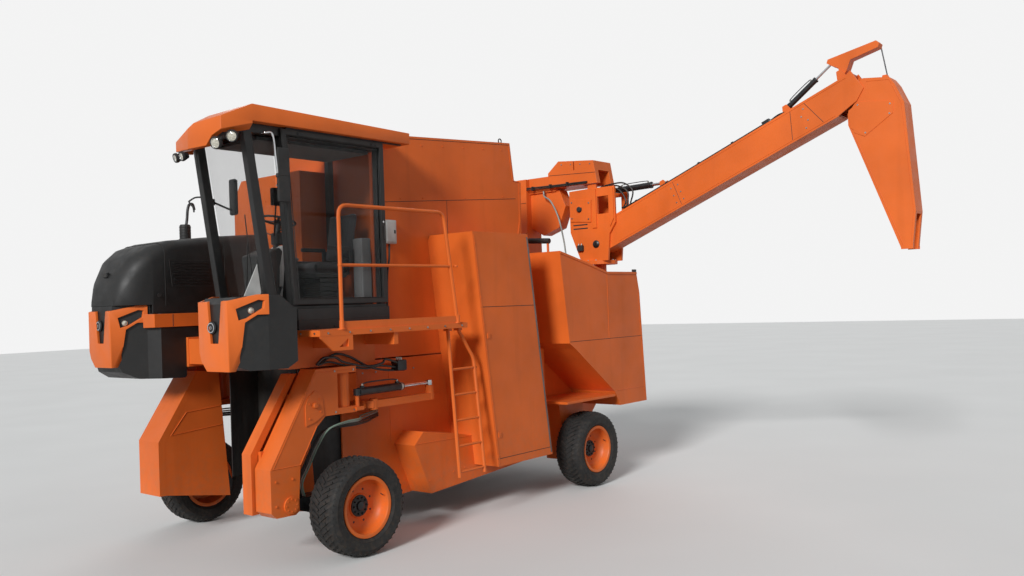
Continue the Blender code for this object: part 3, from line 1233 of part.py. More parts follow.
def make_boom(turret_axis):
    """The boom's box tube with its brackets; the empty sits on the lifting pin."""
    axis = axis_at("boom_axis", (BOOM_PIVOT_X, TURRET_Y, BOOM_PIVOT_Z), turret_axis)
    half = BOOM_WIDTH / 2
    outer = [
        boom_point(0.10, 0), boom_point(BOOM_LENGTH, 0), boom_point(BOOM_HEAD, BOOM_HEIGHT),
        boom_point(0.0, BOOM_HEIGHT), boom_point(0.0, 0.10),
    ]
    t = SHEET
    inner = [
        boom_point(0.12, t), boom_point(BOOM_LENGTH + 0.3, t), boom_point(BOOM_HEAD + 0.3, BOOM_HEIGHT - t),
        boom_point(0.05, BOOM_HEIGHT - t), boom_point(0.05, 0.12),
    ]
    tube_body = plate(outer, "Y", TURRET_Y - half, TURRET_Y + half)
    hollow = plate(inner, "Y", TURRET_Y - half + t, TURRET_Y + half - t)
    mouth = [
        boom_point(0.06, BOOM_HEIGHT - 0.1), boom_point(0.42, BOOM_HEIGHT - 0.1),
        boom_point(0.42, BOOM_HEIGHT + 0.1), boom_point(0.06, BOOM_HEIGHT + 0.1),
    ]
    inlet = plate(mouth, "Y", TURRET_Y - half + 0.04, TURRET_Y + half - 0.04)
    ears = [
        plate(
            [
                boom_point(s - 0.07, BOOM_HEIGHT - 0.01), boom_point(s + 0.07, BOOM_HEIGHT - 0.01),
                boom_point(s + 0.03, h), boom_point(s - 0.03, h),
            ],
            "Y", TURRET_Y + y - 0.012, TURRET_Y + y + 0.012,
        )
        for s, h, out in (
            (1.36, BOOM_HEIGHT + 0.105, EYE_HALF + SEAT + 0.012),
            (SPOUT_BARREL_AT, BOOM_HEIGHT + 0.11, EYE_HALF + SEAT + 0.012),
            (4.145, BOOM_HEIGHT + 0.125, LEVER_HALF + SEAT + 0.012),
        )
        for y in (-out, out)
    ]
    horn = [
        plate(
            [
                boom_point(BOOM_LENGTH - 0.10, 0.02), boom_point(BOOM_HEAD - 0.10, BOOM_HEIGHT - 0.01),
                (4.92, 5.225), (5.075, 4.985), (4.985, 4.84), boom_point(BOOM_LENGTH - 0.01, 0.005),
            ],
            "Y", y, y + 0.02,
        )
        for y in (TURRET_Y - half, TURRET_Y + half - 0.02)
    ]
    part("boom", cut(fuse(tube_body, *ears, *horn), hollow, inlet), "orange_paint", axis)
    return axis


def make_spout(boom_axis):
    """The drop spout at the boom's end: a tapering box, open to the boom and at its lower tip."""
    axis = axis_at("spout_axis", (SPOUT_PIVOT_X, TURRET_Y, SPOUT_PIVOT_Z), boom_axis)
    half = BOOM_WIDTH / 2 - 0.02 - SEAT
    outer = [
        (5.06, 5.105), (5.37, 5.065), (5.43, 4.975), (5.53, 4.74), (SPOUT_REACH, 3.45), (5.555, 3.005), (5.43, 3.01),
        (4.865, 4.56), (4.865, 4.70), (4.965, 4.83), (4.955, 5.0),
    ]
    inner = [
        (5.07, 5.08), (5.36, 5.043), (5.41, 4.97), (5.508, 4.735), (5.588, 3.45), (5.53, 2.95), (5.445, 2.95),
        (4.885, 4.565), (4.80, 4.55), (4.80, 4.98), (4.98, 4.98),
    ]
    body = plate(outer, "Y", TURRET_Y - half, TURRET_Y + half)
    hollow = plate(inner, "Y", TURRET_Y - half + SHEET, TURRET_Y + half - SHEET)
    slot = plate([(5.54, 3.42), (5.70, 3.42), (5.60, 2.95), (5.46, 2.95)], "Y", TURRET_Y - half + 0.05, TURRET_Y + half - 0.05)
    panel = [(4.875, 4.72), (5.00, 4.825), (5.39, 4.775), (5.40, 4.635), (5.06, 4.40), (4.90, 4.52)]
    panels = [plate(panel, "Y", low, low + 0.012) for low in (TURRET_Y - half - 0.008, TURRET_Y + half - 0.004)]
    pin_x = SPOUT_ROD_PIN[0]
    ear = [(pin_x - 0.05, 5.04), (pin_x + 0.05, 5.04), (pin_x + 0.025, 5.12), (pin_x - 0.025, 5.12)]
    ears = [plate(ear, "Y", y - 0.01, y + 0.01) for y in (TURRET_Y - 0.025, TURRET_Y + 0.025)]
    part("spout", fuse(cut(fuse(body, *ears), hollow, slot), *panels), "orange_paint", axis)
    return axis


def make_linkage(name, carrier, barrel_pin, rod_pin, barrel_length, radius, rod_radius):
    """A cylinder in the XZ plane: a barrel that swings on its pin, and a rod that slides in it."""
    start = Vector((barrel_pin[0], TURRET_Y, barrel_pin[1]))
    end = Vector((rod_pin[0], TURRET_Y, rod_pin[1]))
    along = (end - start).normalized()
    wide = Vector((0, EYE_HALF, 0))
    pivot = axis_at(name + "_pin", start, carrier)
    barrel = round_bar(start + along * (EYE_RADIUS * 0.8), start + along * barrel_length, radius, 12)
    eye = round_bar(start - wide, start + wide, EYE_RADIUS, 12)
    bore = round_bar(start + along * 0.10, start + along * (barrel_length + 0.05), rod_radius + 0.0015, 12)
    hole = round_bar(start - wide * 2, start + wide * 2, PIN_RADIUS + 0.001, 12)
    part(name + "_barrel", cut(fuse(barrel, eye), bore, hole), "dark_metal", pivot)
    slide = axis_at(name + "_slide", end, pivot)
    rod = round_bar(start + along * (barrel_length * 0.55), end - along * 0.01, rod_radius, 12)
    rod_eye = round_bar(end - wide, end + wide, EYE_RADIUS * 0.75, 12)
    part(name + "_rod", fuse(rod, rod_eye), "polished_rod", slide)


def make_crank(boom_axis):
    """The bell crank that tilts the spout, and the thin pull rod from its tip."""
    axis = axis_at("crank_axis", (CRANK_PIVOT[0], TURRET_Y, CRANK_PIVOT[1]), boom_axis)
    tail, tip = Vector(CRANK_TAIL), Vector(CRANK_TIP)
    lever = plate(
        [(4.605, 5.385), (4.62, 5.43), (5.215, 5.548), (5.252, 5.51), (5.235, 5.462), (4.90, 5.375), (4.85, 5.25), (4.82, 5.205),
         (4.775, 5.205), (4.745, 5.30), (4.66, 5.345)],
        "Y", TURRET_Y - LEVER_HALF, TURRET_Y + LEVER_HALF,
    )
    slot = round_bar((tail.x - 0.02, TURRET_Y - EYE_HALF - SEAT, tail.y), (tail.x - 0.02, TURRET_Y + EYE_HALF + SEAT, tail.y), 0.085, 16)
    part("crank", cut(lever, slot), "orange_paint", axis)
    pull = axis_at("pull_rod_pin", (tip.x, TURRET_Y, tip.y), axis)
    shift = Vector((0, LEVER_HALF + SEAT + 0.008, 0))
    start = Vector((tip.x, TURRET_Y, tip.y)) + shift
    end = Vector((SPOUT_ROD_PIN[0], TURRET_Y, SPOUT_ROD_PIN[1])) + shift
    part("pull_rod", round_bar(start, end, 0.008, 8), "dark_metal", pull)


make_main_frame()
for side_label, sign in SIDES:
    make_front_leg(side_label, sign)
    make_steering_cylinder(side_label, sign)
    make_rear_leg(side_label, sign)
    make_side_housing(side_label, sign)
    make_rotor(side_label, sign)
    make_collector(side_label, sign)
make_curtain()
make_upper_body()
make_hopper()
make_cab()
make_door()
make_bonnet()
make_engine_bay()
make_nose("left", NOSE_X, 2.70)
make_nose("right", -NOSE_X, BROW_TOP)
make_platform()
make_ladder()
make_discharge_head()
turret_centre = axis_at("turret_axis", (TURRET_X, TURRET_Y, TURRET_FOOT))
make_turret(turret_centre)
boom_centre = make_boom(turret_centre)
make_spout(boom_centre)
make_crank(boom_centre)
make_linkage("lift", turret_centre, LIFT_BARREL_PIN, LIFT_ROD_PIN, 0.60, 0.045, 0.022)
make_linkage("spout_cylinder", boom_centre, SPOUT_BARREL_PIN, CRANK_TAIL, 0.50, 0.035, 0.016)

machine.location = (-(SPOUT_REACH - WHEEL_X - TYRE_HALF) / 2, -(HOPPER_REAR + NOSE_FRONT) / 2, 0)
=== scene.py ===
"""Looks of the coffee harvester: its finishes, trim, hoses, lamps and light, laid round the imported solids.

Metres, +Z up. Shapes are written in the machine's own frame: it faces -Y, +X is its left side, and its origin
lies on the floor in the middle of the tunnel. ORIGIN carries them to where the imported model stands.
"""

import logging
import math
from dataclasses import dataclass
from enum import Enum
from functools import partial

import bmesh
import bpy
from mathutils import Matrix, Vector


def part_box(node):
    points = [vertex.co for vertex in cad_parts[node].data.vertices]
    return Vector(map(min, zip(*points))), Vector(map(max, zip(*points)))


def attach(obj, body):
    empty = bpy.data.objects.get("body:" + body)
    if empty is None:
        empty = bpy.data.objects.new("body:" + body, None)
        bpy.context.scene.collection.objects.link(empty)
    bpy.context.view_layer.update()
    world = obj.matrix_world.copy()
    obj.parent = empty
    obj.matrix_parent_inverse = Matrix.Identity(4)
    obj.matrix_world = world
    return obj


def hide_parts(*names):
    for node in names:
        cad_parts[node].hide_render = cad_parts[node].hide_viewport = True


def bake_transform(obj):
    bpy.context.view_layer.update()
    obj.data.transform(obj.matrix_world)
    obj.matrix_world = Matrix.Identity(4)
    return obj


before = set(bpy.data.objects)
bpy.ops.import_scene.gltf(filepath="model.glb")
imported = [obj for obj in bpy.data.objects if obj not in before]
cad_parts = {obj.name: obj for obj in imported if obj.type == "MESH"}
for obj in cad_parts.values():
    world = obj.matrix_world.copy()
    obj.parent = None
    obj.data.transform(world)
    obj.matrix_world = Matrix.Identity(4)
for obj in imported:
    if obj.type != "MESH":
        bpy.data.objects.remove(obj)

logging.basicConfig(level=logging.INFO, format="%(message)s")
log = logging.getLogger("coffee_harvester")

Point = tuple[float, float, float]
Outline = list[tuple[float, float]]

FRAME_FRONT = -2.72
# Points nearer than this are one point: in a shape made here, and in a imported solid.
MADE_MERGE = 0.00001
PACKED_MERGE = 0.0001


def machine_origin() -> Vector:
    """The place of the machine frame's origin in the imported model, from the main frame's box."""
    low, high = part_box("main_frame")
    return Vector(((low.x + high.x) / 2, low.y - FRAME_FRONT, 0.0))


ORIGIN = machine_origin()


class Side(Enum):
    """The machine's two sides, with the sign of their X."""

    LEFT = 1
    RIGHT = -1

    @property
    def word(self) -> str:
        """The side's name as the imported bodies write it."""
        return self.name.lower()

    def at(self, x: float, y: float, z: float) -> Point:
        """A point written for the left side, laid on this side."""
        return (x * self.value, y, z)

    def span(self, near: float, far: float) -> list[float]:
        """Two distances from the middle plane, as this side's lower and higher x."""
        return sorted((near * self.value, far * self.value))


class Axis(Enum):
    """The axis along which a flat outline is given its thickness."""

    X = "X"
    Y = "Y"
    Z = "Z"


AXIS_FRAMES = {
    Axis.X: Matrix(((0, 0, 1, 0), (1, 0, 0, 0), (0, 1, 0, 0), (0, 0, 0, 1))),
    Axis.Y: Matrix(((1, 0, 0, 0), (0, 0, 1, 0), (0, 1, 0, 0), (0, 0, 0, 1))),
    Axis.Z: Matrix.Identity(4),
}


# Finishes
class Graph:
    """The node tree of one material. Its patterns lie on Object coordinates."""

    def __init__(self, name: str) -> None:
        """Makes the material with its Principled shader.

        Args:
            name: the material's name.
        """
        self.material = bpy.data.materials.new(name)
        self.material.use_nodes = True
        self.tree = self.material.node_tree
        self.shader = self.tree.nodes["Principled BSDF"]
        self.place = self.tree.nodes.new("ShaderNodeTexCoord").outputs["Object"]

    def numbers(self, **values: float) -> None:
        """Sets the shader's own sockets, written with underscores for spaces."""
        for name, value in values.items():
            self.shader.inputs[name.replace("_", " ")].default_value = value

    def feed(self, socket: bpy.types.NodeSocket, name: str) -> None:
        """Links a socket to one of the shader's inputs."""
        self.tree.links.new(socket, self.shader.inputs[name])

    def laid(self, scale: Point, turn: Point = (0.0, 0.0, 0.0)) -> bpy.types.NodeSocket:
        """Object coordinates, stretched and turned."""
        node = self.tree.nodes.new("ShaderNodeMapping")
        node.inputs["Scale"].default_value = scale
        node.inputs["Rotation"].default_value = turn
        self.tree.links.new(self.place, node.inputs["Vector"])
        return node.outputs["Vector"]

    def noise(
        self, scale: float, detail: float = 3.0, stretch: Point = (1.0, 1.0, 1.0)
    ) -> bpy.types.NodeSocket:
        """A noise value from 0 to 1, with `scale` features in a metre."""
        node = self.tree.nodes.new("ShaderNodeTexNoise")
        node.inputs["Scale"].default_value = scale
        node.inputs["Detail"].default_value = detail
        self.tree.links.new(self.laid(stretch), node.inputs["Vector"])
        return node.outputs["Fac"]

    def waves(self, scale: float, turn: Point, bend: float = 0.0) -> bpy.types.NodeSocket:
        """Parallel bands along the turned X axis."""
        node = self.tree.nodes.new("ShaderNodeTexWave")
        node.inputs["Scale"].default_value = scale
        node.inputs["Distortion"].default_value = bend
        self.tree.links.new(self.laid((1.0, 1.0, 1.0), turn), node.inputs["Vector"])
        return node.outputs["Fac"]

    def cells(self, scale: float) -> bpy.types.NodeSocket:
        """The distance to the nearest of many scattered points."""
        node = self.tree.nodes.new("ShaderNodeTexVoronoi")
        node.inputs["Scale"].default_value = scale
        self.tree.links.new(self.place, node.inputs["Vector"])
        return node.outputs["Distance"]

    def height(self) -> bpy.types.NodeSocket:
        """The height above the floor in metres."""
        node = self.tree.nodes.new("ShaderNodeSeparateXYZ")
        self.tree.links.new(self.place, node.inputs["Vector"])
        return node.outputs["Z"]

    def upward(self) -> bpy.types.NodeSocket:
        """How far a face looks up, from -1 to 1."""
        look = self.tree.nodes.new("ShaderNodeNewGeometry")
        node = self.tree.nodes.new("ShaderNodeSeparateXYZ")
        self.tree.links.new(look.outputs["Normal"], node.inputs["Vector"])
        return node.outputs["Z"]

    def spread(
        self, value: bpy.types.NodeSocket, start: float, end: float, low: float = 0.0, high: float = 1.0
    ) -> bpy.types.NodeSocket:
        """A value's share of the way from start to end, laid between low and high.

        Args:
            value: the value.
            start: the value that gives low.
            end: the value that gives high.
            low: the result at the start.
            high: the result at the end.

        Returns:
            The result's socket.
        """
        node = self.tree.nodes.new("ShaderNodeMapRange")
        for name, number in (("From Min", start), ("From Max", end), ("To Min", low), ("To Max", high)):
            node.inputs[name].default_value = number
        self.tree.links.new(value, node.inputs["Value"])
        return node.outputs["Result"]

    def combined(
        self, kind: str, first: bpy.types.NodeSocket, second: bpy.types.NodeSocket | float
    ) -> bpy.types.NodeSocket:
        """One arithmetic step, named as the Math node names it.

        Args:
            kind: the step.
            first: the first value.
            second: the second, a socket or a number.

        Returns:
            The result's socket.
        """
        node = self.tree.nodes.new("ShaderNodeMath")
        node.operation = kind
        self.tree.links.new(first, node.inputs[0])
        if isinstance(second, float):
            node.inputs[1].default_value = second
        else:
            self.tree.links.new(second, node.inputs[1])
        return node.outputs["Value"]

    def mixed(self, share: bpy.types.NodeSocket, first: object, second: object) -> bpy.types.NodeSocket:
        """Two colours mixed by a share; each is a colour or a socket.

        Args:
            share: 0 for the first colour, 1 for the second.
            first: the first colour.
            second: the second colour.

        Returns:
            The mixed colour's socket.
        """
        node = self.tree.nodes.new("ShaderNodeMix")
        node.data_type = "RGBA"
        self.tree.links.new(share, node.inputs[0])
        for place, colour in ((6, first), (7, second)):
            if isinstance(colour, tuple):
                node.inputs[place].default_value = (*colour, 1.0)
            else:
                self.tree.links.new(colour, node.inputs[place])
        return node.outputs[2]

    def relief(self, height: bpy.types.NodeSocket, strength: float, depth: float) -> None:
        """Gives the shader a bumped normal."""
        node = self.tree.nodes.new("ShaderNodeBump")
        node.inputs["Strength"].default_value = strength
        node.inputs["Distance"].default_value = depth
        self.tree.links.new(height, node.inputs["Height"])
        self.feed(node.outputs["Normal"], "Normal")


Colour = tuple[float, float, float]
DUST = (0.33, 0.20, 0.11)


@dataclass(frozen=True)
class Finish:
    """A finish with its name and the record's slot that it belongs to."""

    name: str
    slot: str
    colour: Colour
    roughness: float = 0.5

    def material(self) -> bpy.types.Material:
        """The finish's material, made once."""
        if self.name in bpy.data.materials:
            return bpy.data.materials[self.name]
        graph = Graph(self.name)
        self.mix(graph)
        return graph.material

    def mix(self, graph: Graph) -> None:
        """Writes the finish's nodes; each kind of finish has its own."""
        raise NotImplementedError


@dataclass(frozen=True)
class Paint(Finish):
    """Sprayed machine paint: broad shade, faint run marks, dust low down and on tops, orange peel."""

    dust: float = 0.30
    gloss: float = 0.32

    def mix(self, graph: Graph) -> None:
        """Writes the paint's nodes."""
        deep = tuple(c * 0.80 for c in self.colour)
        shade = graph.spread(graph.noise(1.1, 4.0), 0.35, 0.70)
        colour = graph.mixed(shade, self.colour, deep)
        runs = graph.spread(graph.noise(5.0, 5.0, (1.0, 1.0, 0.09)), 0.54, 0.78, 0.0, 0.26)
        colour = graph.mixed(runs, colour, tuple(c * 0.55 for c in self.colour))
        speck = graph.noise(14.0, 8.0)
        low = graph.spread(graph.height(), 0.15, 1.25, 1.0, 0.06)
        low = graph.combined("MULTIPLY", low, graph.spread(speck, 0.42, 0.72, 0.0, self.dust * 1.3))
        top = graph.spread(graph.upward(), 0.55, 0.98, 0.0, 1.0)
        top = graph.combined("MULTIPLY", top, graph.spread(speck, 0.40, 0.68, 0.0, self.dust))
        colour = graph.mixed(graph.combined("MAXIMUM", low, top), colour, DUST)
        graph.feed(colour, "Base Color")
        graph.feed(
            graph.spread(graph.noise(6.0, 6.0), 0.3, 0.75, self.roughness - 0.06, self.roughness + 0.14),
            "Roughness"
        )
        graph.numbers(Specular_IOR_Level=self.gloss)
        graph.relief(graph.noise(210.0, 2.0), 0.06, 0.002)


@dataclass(frozen=True)
class Moulded(Finish):
    """Moulded or satin black surface with a fine grain, a little worn and dusty."""

    grain: float = 420.0
    dust: float = 0.16

    def mix(self, graph: Graph) -> None:
        """Writes the grained surface's nodes."""
        pale = tuple(c * 1.7 + 0.002 for c in self.colour)
        colour = graph.mixed(graph.spread(graph.noise(2.6, 6.0), 0.40, 0.72), self.colour, pale)
        speck = graph.spread(graph.noise(17.0, 8.0), 0.50, 0.78, 0.0, self.dust)
        top = graph.combined("MULTIPLY", graph.spread(graph.upward(), 0.2, 0.95, 0.25, 1.0), speck)
        graph.feed(graph.mixed(top, colour, DUST), "Base Color")
        graph.feed(
            graph.spread(graph.noise(8.0, 5.0), 0.3, 0.7, self.roughness - 0.07, self.roughness + 0.12),
            "Roughness"
        )
        graph.relief(graph.noise(self.grain, 2.0), 0.16, 0.0015)


@dataclass(frozen=True)
class Tyre(Finish):
    """Tyre rubber with dry dust in its tread and fine rings."""

    def mix(self, graph: Graph) -> None:
        """Writes the rubber's nodes."""
        worn = graph.mixed(
            graph.spread(graph.noise(7.0, 6.0), 0.35, 0.72), self.colour, (0.022, 0.021, 0.020)
        )
        dusty = graph.spread(graph.noise(22.0, 9.0), 0.47, 0.74, 0.0, 0.24)
        low = graph.combined("MULTIPLY", dusty, graph.spread(graph.height(), 0.0, 1.0, 1.0, 0.45))
        graph.feed(graph.mixed(low, worn, (0.15, 0.098, 0.060)), "Base Color")
        graph.feed(
            graph.spread(graph.noise(30.0, 4.0), 0.3, 0.7, self.roughness - 0.10, self.roughness + 0.10),
            "Roughness"
        )
        graph.relief(graph.noise(260.0, 5.0), 0.30, 0.002)


@dataclass(frozen=True)
class Flap(Finish):
    """Sheet rubber that hangs in long soft waves."""

    def mix(self, graph: Graph) -> None:
        """Writes the sheet's nodes."""
        colour = graph.mixed(
            graph.spread(graph.noise(4.0, 7.0, (1.0, 1.0, 0.3)), 0.4, 0.8), self.colour, (0.040, 0.034, 0.028)
        )
        graph.feed(colour, "Base Color")
        graph.feed(
            graph.spread(graph.noise(9.0, 4.0), 0.3, 0.7, self.roughness - 0.12, self.roughness + 0.08),
            "Roughness"
        )
        folds = graph.combined(
            "ADD", graph.noise(5.0, 2.0, (1.0, 1.0, 0.25)),
            graph.combined("MULTIPLY", graph.noise(160.0, 3.0), 0.08)
        )
        graph.relief(folds, 0.55, 0.03)


@dataclass(frozen=True)
class Pane(Finish):
    """Clear glass, faintly tinted and faintly dusty."""

    veil: float = 0.11

    def mix(self, graph: Graph) -> None:
        """Writes the glass's nodes."""
        dusty = graph.spread(graph.noise(9.0, 7.0), 0.55, 0.85, 0.0, 0.25)
        graph.feed(graph.mixed(dusty, self.colour, (0.22, 0.19, 0.16)), "Base Color")
        graph.numbers(
            Alpha=self.veil, IOR=1.50, Roughness=self.roughness, Coat_Weight=0.5, Coat_Roughness=0.02
        )


@dataclass(frozen=True)
class Metal(Finish):
    """Bare, cast or plated metal, with faint scratches."""

    scratch: float = 0.12
    bright: float = 1.0

    def mix(self, graph: Graph) -> None:
        """Writes the metal's nodes."""
        dull = tuple(c * 0.62 for c in self.colour)
        graph.feed(
            graph.mixed(graph.spread(graph.noise(12.0, 7.0), 0.40, 0.75), self.colour, dull), "Base Color"
        )
        graph.feed(
            graph.spread(graph.noise(25.0, 6.0), 0.3, 0.75, self.roughness * 0.75, self.roughness * 1.4),
            "Roughness"
        )
        graph.numbers(Metallic=self.bright)
        graph.relief(graph.noise(90.0, 5.0, (1.0, 4.0, 1.0)), self.scratch, 0.0015)


@dataclass(frozen=True)
class Woven(Finish):
    """Seat cloth: two crossing sets of threads and a soft sheen."""

    def mix(self, graph: Graph) -> None:
        """Writes the cloth's nodes."""
        across = graph.waves(190.0, (0.0, 0.0, 0.0), 0.4)
        along = graph.waves(190.0, (0.0, math.radians(90), math.radians(90)), 0.4)
        weave = graph.combined("MAXIMUM", across, along)
        fleck = graph.mixed(
            graph.spread(graph.noise(5.0, 6.0), 0.35, 0.7), self.colour, tuple(c * 1.8 for c in self.colour)
        )
        graph.feed(
            graph.mixed(graph.spread(weave, 0.2, 0.9, 0.0, 0.5), tuple(c * 0.4 for c in self.colour), fleck),
            "Base Color"
        )
        graph.numbers(Roughness=self.roughness, Sheen_Weight=0.25)
        graph.relief(weave, 0.5, 0.0012)


@dataclass(frozen=True)
class Lens(Finish):
    """A pressed lamp glass with small facets in front of its reflector; each facet is painted lighter in its
    middle and darker to its edge, as painted light.
    """

    def mix(self, graph: Graph) -> None:
        """Writes the lens's nodes."""
        facets = graph.cells(70.0)
        # Painted light: each facet's colour runs from light in its middle to darker at its edge, standing in
        # for how the facets catch light.
        graph.feed(
            graph.mixed(
                graph.spread(facets, 0.0, 0.7, 0.0, 0.8), self.colour, tuple(c * 0.55 for c in self.colour)
            ),
            "Base Color"
        )
        graph.numbers(Roughness=self.roughness, Coat_Weight=1.0, Coat_Roughness=0.03)
        graph.relief(facets, 0.6, 0.004)


@dataclass(frozen=True)
class Mesh(Finish):
    """A perforated or woven metal screen: holes painted near-black as painted shade behind the screen, between
    bright wires.
    """

    pitch: float = 75.0

    def mix(self, graph: Graph) -> None:
        """Writes the screen's nodes."""
        turn = math.radians(90)
        rows = [graph.waves(self.pitch, t) for t in ((0.0, 0.0, 0.0), (0.0, turn, 0.0), (0.0, 0.0, turn))]
        wires = graph.combined("MULTIPLY", graph.combined("MULTIPLY", rows[0], rows[1]), rows[2])
        # Painted shade: the holes are painted near-black for the shade behind the screen.
        graph.feed(
            graph.mixed(graph.spread(wires, 0.15, 0.45), self.colour, (0.004, 0.004, 0.004)), "Base Color"
        )
        graph.numbers(Roughness=self.roughness, Metallic=0.4)
        graph.relief(wires, 0.7, 0.004)


@dataclass(frozen=True)
class TreadPlate(Finish):
    """Painted step plate with crossed raised bars."""

    def mix(self, graph: Graph) -> None:
        """Writes the step plate's nodes."""
        bars = graph.combined(
            "MULTIPLY", graph.waves(26.0, (0.0, 0.0, 0.8)), graph.waves(26.0, (0.0, 0.0, -0.8))
        )
        worn = graph.spread(bars, 0.45, 0.85, 0.0, 0.55)
        dusty = graph.mixed(graph.spread(graph.noise(13.0, 8.0), 0.42, 0.72, 0.0, 0.55), self.colour, DUST)
        graph.feed(graph.mixed(worn, dusty, tuple(c * 0.6 for c in self.colour)), "Base Color")
        graph.numbers(Roughness=self.roughness)
        graph.relief(bars, 0.8, 0.004)


ORANGE = Paint("orange_machine_paint", "orange_paint", (0.84, 0.165, 0.026), 0.40, dust=0.22)
ORANGE_CLEAN = Paint("orange_moulding_paint", "orange_paint", (0.86, 0.175, 0.028), 0.34, dust=0.12)
BLACK_PAINT = Moulded("satin_black_paint", "black_plastic", (0.0065, 0.0065, 0.0065), 0.42, dust=0.07)
HOOD_BLACK = Moulded("hood_black", "black_plastic", (0.0045, 0.0045, 0.0045), 0.50, grain=300.0, dust=0.05)
SOFT_BLACK = Moulded("soft_black_plastic", "black_plastic", (0.014, 0.014, 0.014), 0.62)
GREY_TRIM = Moulded("grey_cab_trim", "black_plastic", (0.10, 0.10, 0.10), 0.60)
LIGHT_TRIM = Moulded("light_grey_plastic", "black_plastic", (0.42, 0.43, 0.42), 0.50)
TYRE = Tyre("dusty_tyre_rubber", "tyre_rubber", (0.010, 0.010, 0.010), 0.80)
CURTAIN = Flap("curtain_rubber", "rubber_sheet", (0.010, 0.010, 0.010), 0.62)
GLASS = Pane("cab_glass_clear", "glass", (0.020, 0.026, 0.026), 0.03)
HOSE = Flap("hose_rubber", "rubber_sheet", (0.010, 0.010, 0.010), 0.50)
PALE_HOSE = Moulded("pale_hose", "black_plastic", (0.22, 0.25, 0.23), 0.45)
GREEN_HOSE = Moulded("green_grey_hose", "black_plastic", (0.13, 0.19, 0.15), 0.45)
DARK_METAL = Metal("dark_oiled_metal", "dark_metal", (0.045, 0.046, 0.048), 0.36, bright=0.7)
ROD = Metal("polished_rod_steel", "polished_rod", (0.66, 0.67, 0.69), 0.14, scratch=0.05)
CHROME = Metal("bright_trim", "polished_rod", (0.78, 0.79, 0.80), 0.10, scratch=0.02)
ZINC = Metal("zinc_bolts", "cast_metal", (0.42, 0.41, 0.38), 0.38)
CAST = Metal("bare_casting", "cast_metal", (0.16, 0.16, 0.155), 0.60, scratch=0.35, bright=0.8)
CLOTH = Woven("seat_weave", "grey_cloth", (0.050, 0.050, 0.054), 0.85)
# The headliner's cloth is painted near-black as painted shade under the cab roof.
SHADED_LINING = Woven("headliner_cloth_painted_shade", "grey_cloth", (0.030, 0.030, 0.032), 0.90)
LAMP = Lens("lamp_glass", "glass", (0.80, 0.76, 0.64), 0.12)
MIRROR = Metal("mirror_glass", "glass", (0.85, 0.87, 0.88), 0.03, scratch=0.0)
SCREEN = Mesh("radiator_screen", "dark_metal", (0.055, 0.055, 0.055), 0.55)
STEP_PLATE = TreadPlate("orange_step_plate", "orange_paint", (0.80, 0.16, 0.028), 0.50)


# Shapes
def cube(low: Point, high: Point, edge: float = 0.0, segments: int = 2) -> bmesh.types.BMesh:
    """A box between two corners, its edges rounded when edge is given.

    Args:
        low: one corner.
        high: the opposite corner.
        edge: how far its edges are rounded, or 0.
        segments: the steps of the rounding.

    Returns:
        The box.
    """
    low_v, high_v = Vector(map(min, low, high)), Vector(map(max, low, high))
    bm = bmesh.new()
    bmesh.ops.create_cube(bm, size=1.0)
    bmesh.ops.scale(bm, vec=high_v - low_v, verts=bm.verts)
    bmesh.ops.translate(bm, vec=(low_v + high_v) / 2, verts=bm.verts)
    return rounded(bm, edge, segments)


def rounded(bm: bmesh.types.BMesh, edge: float, segments: int = 2, over: float = 40.0) -> bmesh.types.BMesh:
    """Rounds the edges of a bmesh that turn by more than `over` degrees.

    Args:
        bm: the shape.
        edge: how far the edges are rounded, or 0.
        segments: the rounding's steps.
        over: the least turn, in degrees, of an edge that is rounded.

    Returns:
        The same bmesh.
    """
    if edge > 0:
        sharp = [e for e in bm.edges if e.is_manifold and e.calc_face_angle(0.0) > math.radians(over)]
        bmesh.ops.bevel(
            bm, geom=sharp, offset=edge, offset_type="OFFSET", segments=segments, profile=0.5, affect="EDGES",
            material=-1, clamp_overlap=True,
        )
    return bm


def around(count: int, radius: float, start: float = 0.0) -> list[tuple[float, float]]:
    """Evenly spaced places on a circle, as two offsets from its middle.

    Args:
        count: how many places.
        radius: the circle's radius.
        start: the share of one step by which the first is turned on.

    Returns:
        The offsets.
    """
    angles = [math.tau * (i + start) / count for i in range(count)]
    return [(radius * math.cos(angle), radius * math.sin(angle)) for angle in angles]


def toward(start: Vector, end: Vector) -> Matrix:
    """The frame in the middle between two points, whose Z runs from the first to the second."""
    turn = (end - start).to_track_quat("Z", "Y").to_matrix().to_4x4()
    return Matrix.Translation((start + end) / 2) @ turn


def round_bar(
    start: Point, end: Point, radius: float, sides: int = 20, end_radius: float | None = None,
    edge: float = 0.0,
) -> bmesh.types.BMesh:
    """A cylinder or cone from one point to another.

    Args:
        start: the middle of its first end.
        end: the middle of its other end.
        radius: its radius at the start.
        sides: how many sides it has.
        end_radius: its radius at the end, where that differs.
        edge: how far its rims are rounded.

    Returns:
        The bar.
    """
    first, last = Vector(start), Vector(end)
    bm = bmesh.new()
    bmesh.ops.create_cone(
        bm, cap_ends=True, segments=sides, radius1=radius,
        radius2=radius if end_radius is None else end_radius, depth=(last - first).length,
    )
    rounded(bm, edge, 2, 60.0)
    bm.transform(toward(first, last))
    return bm


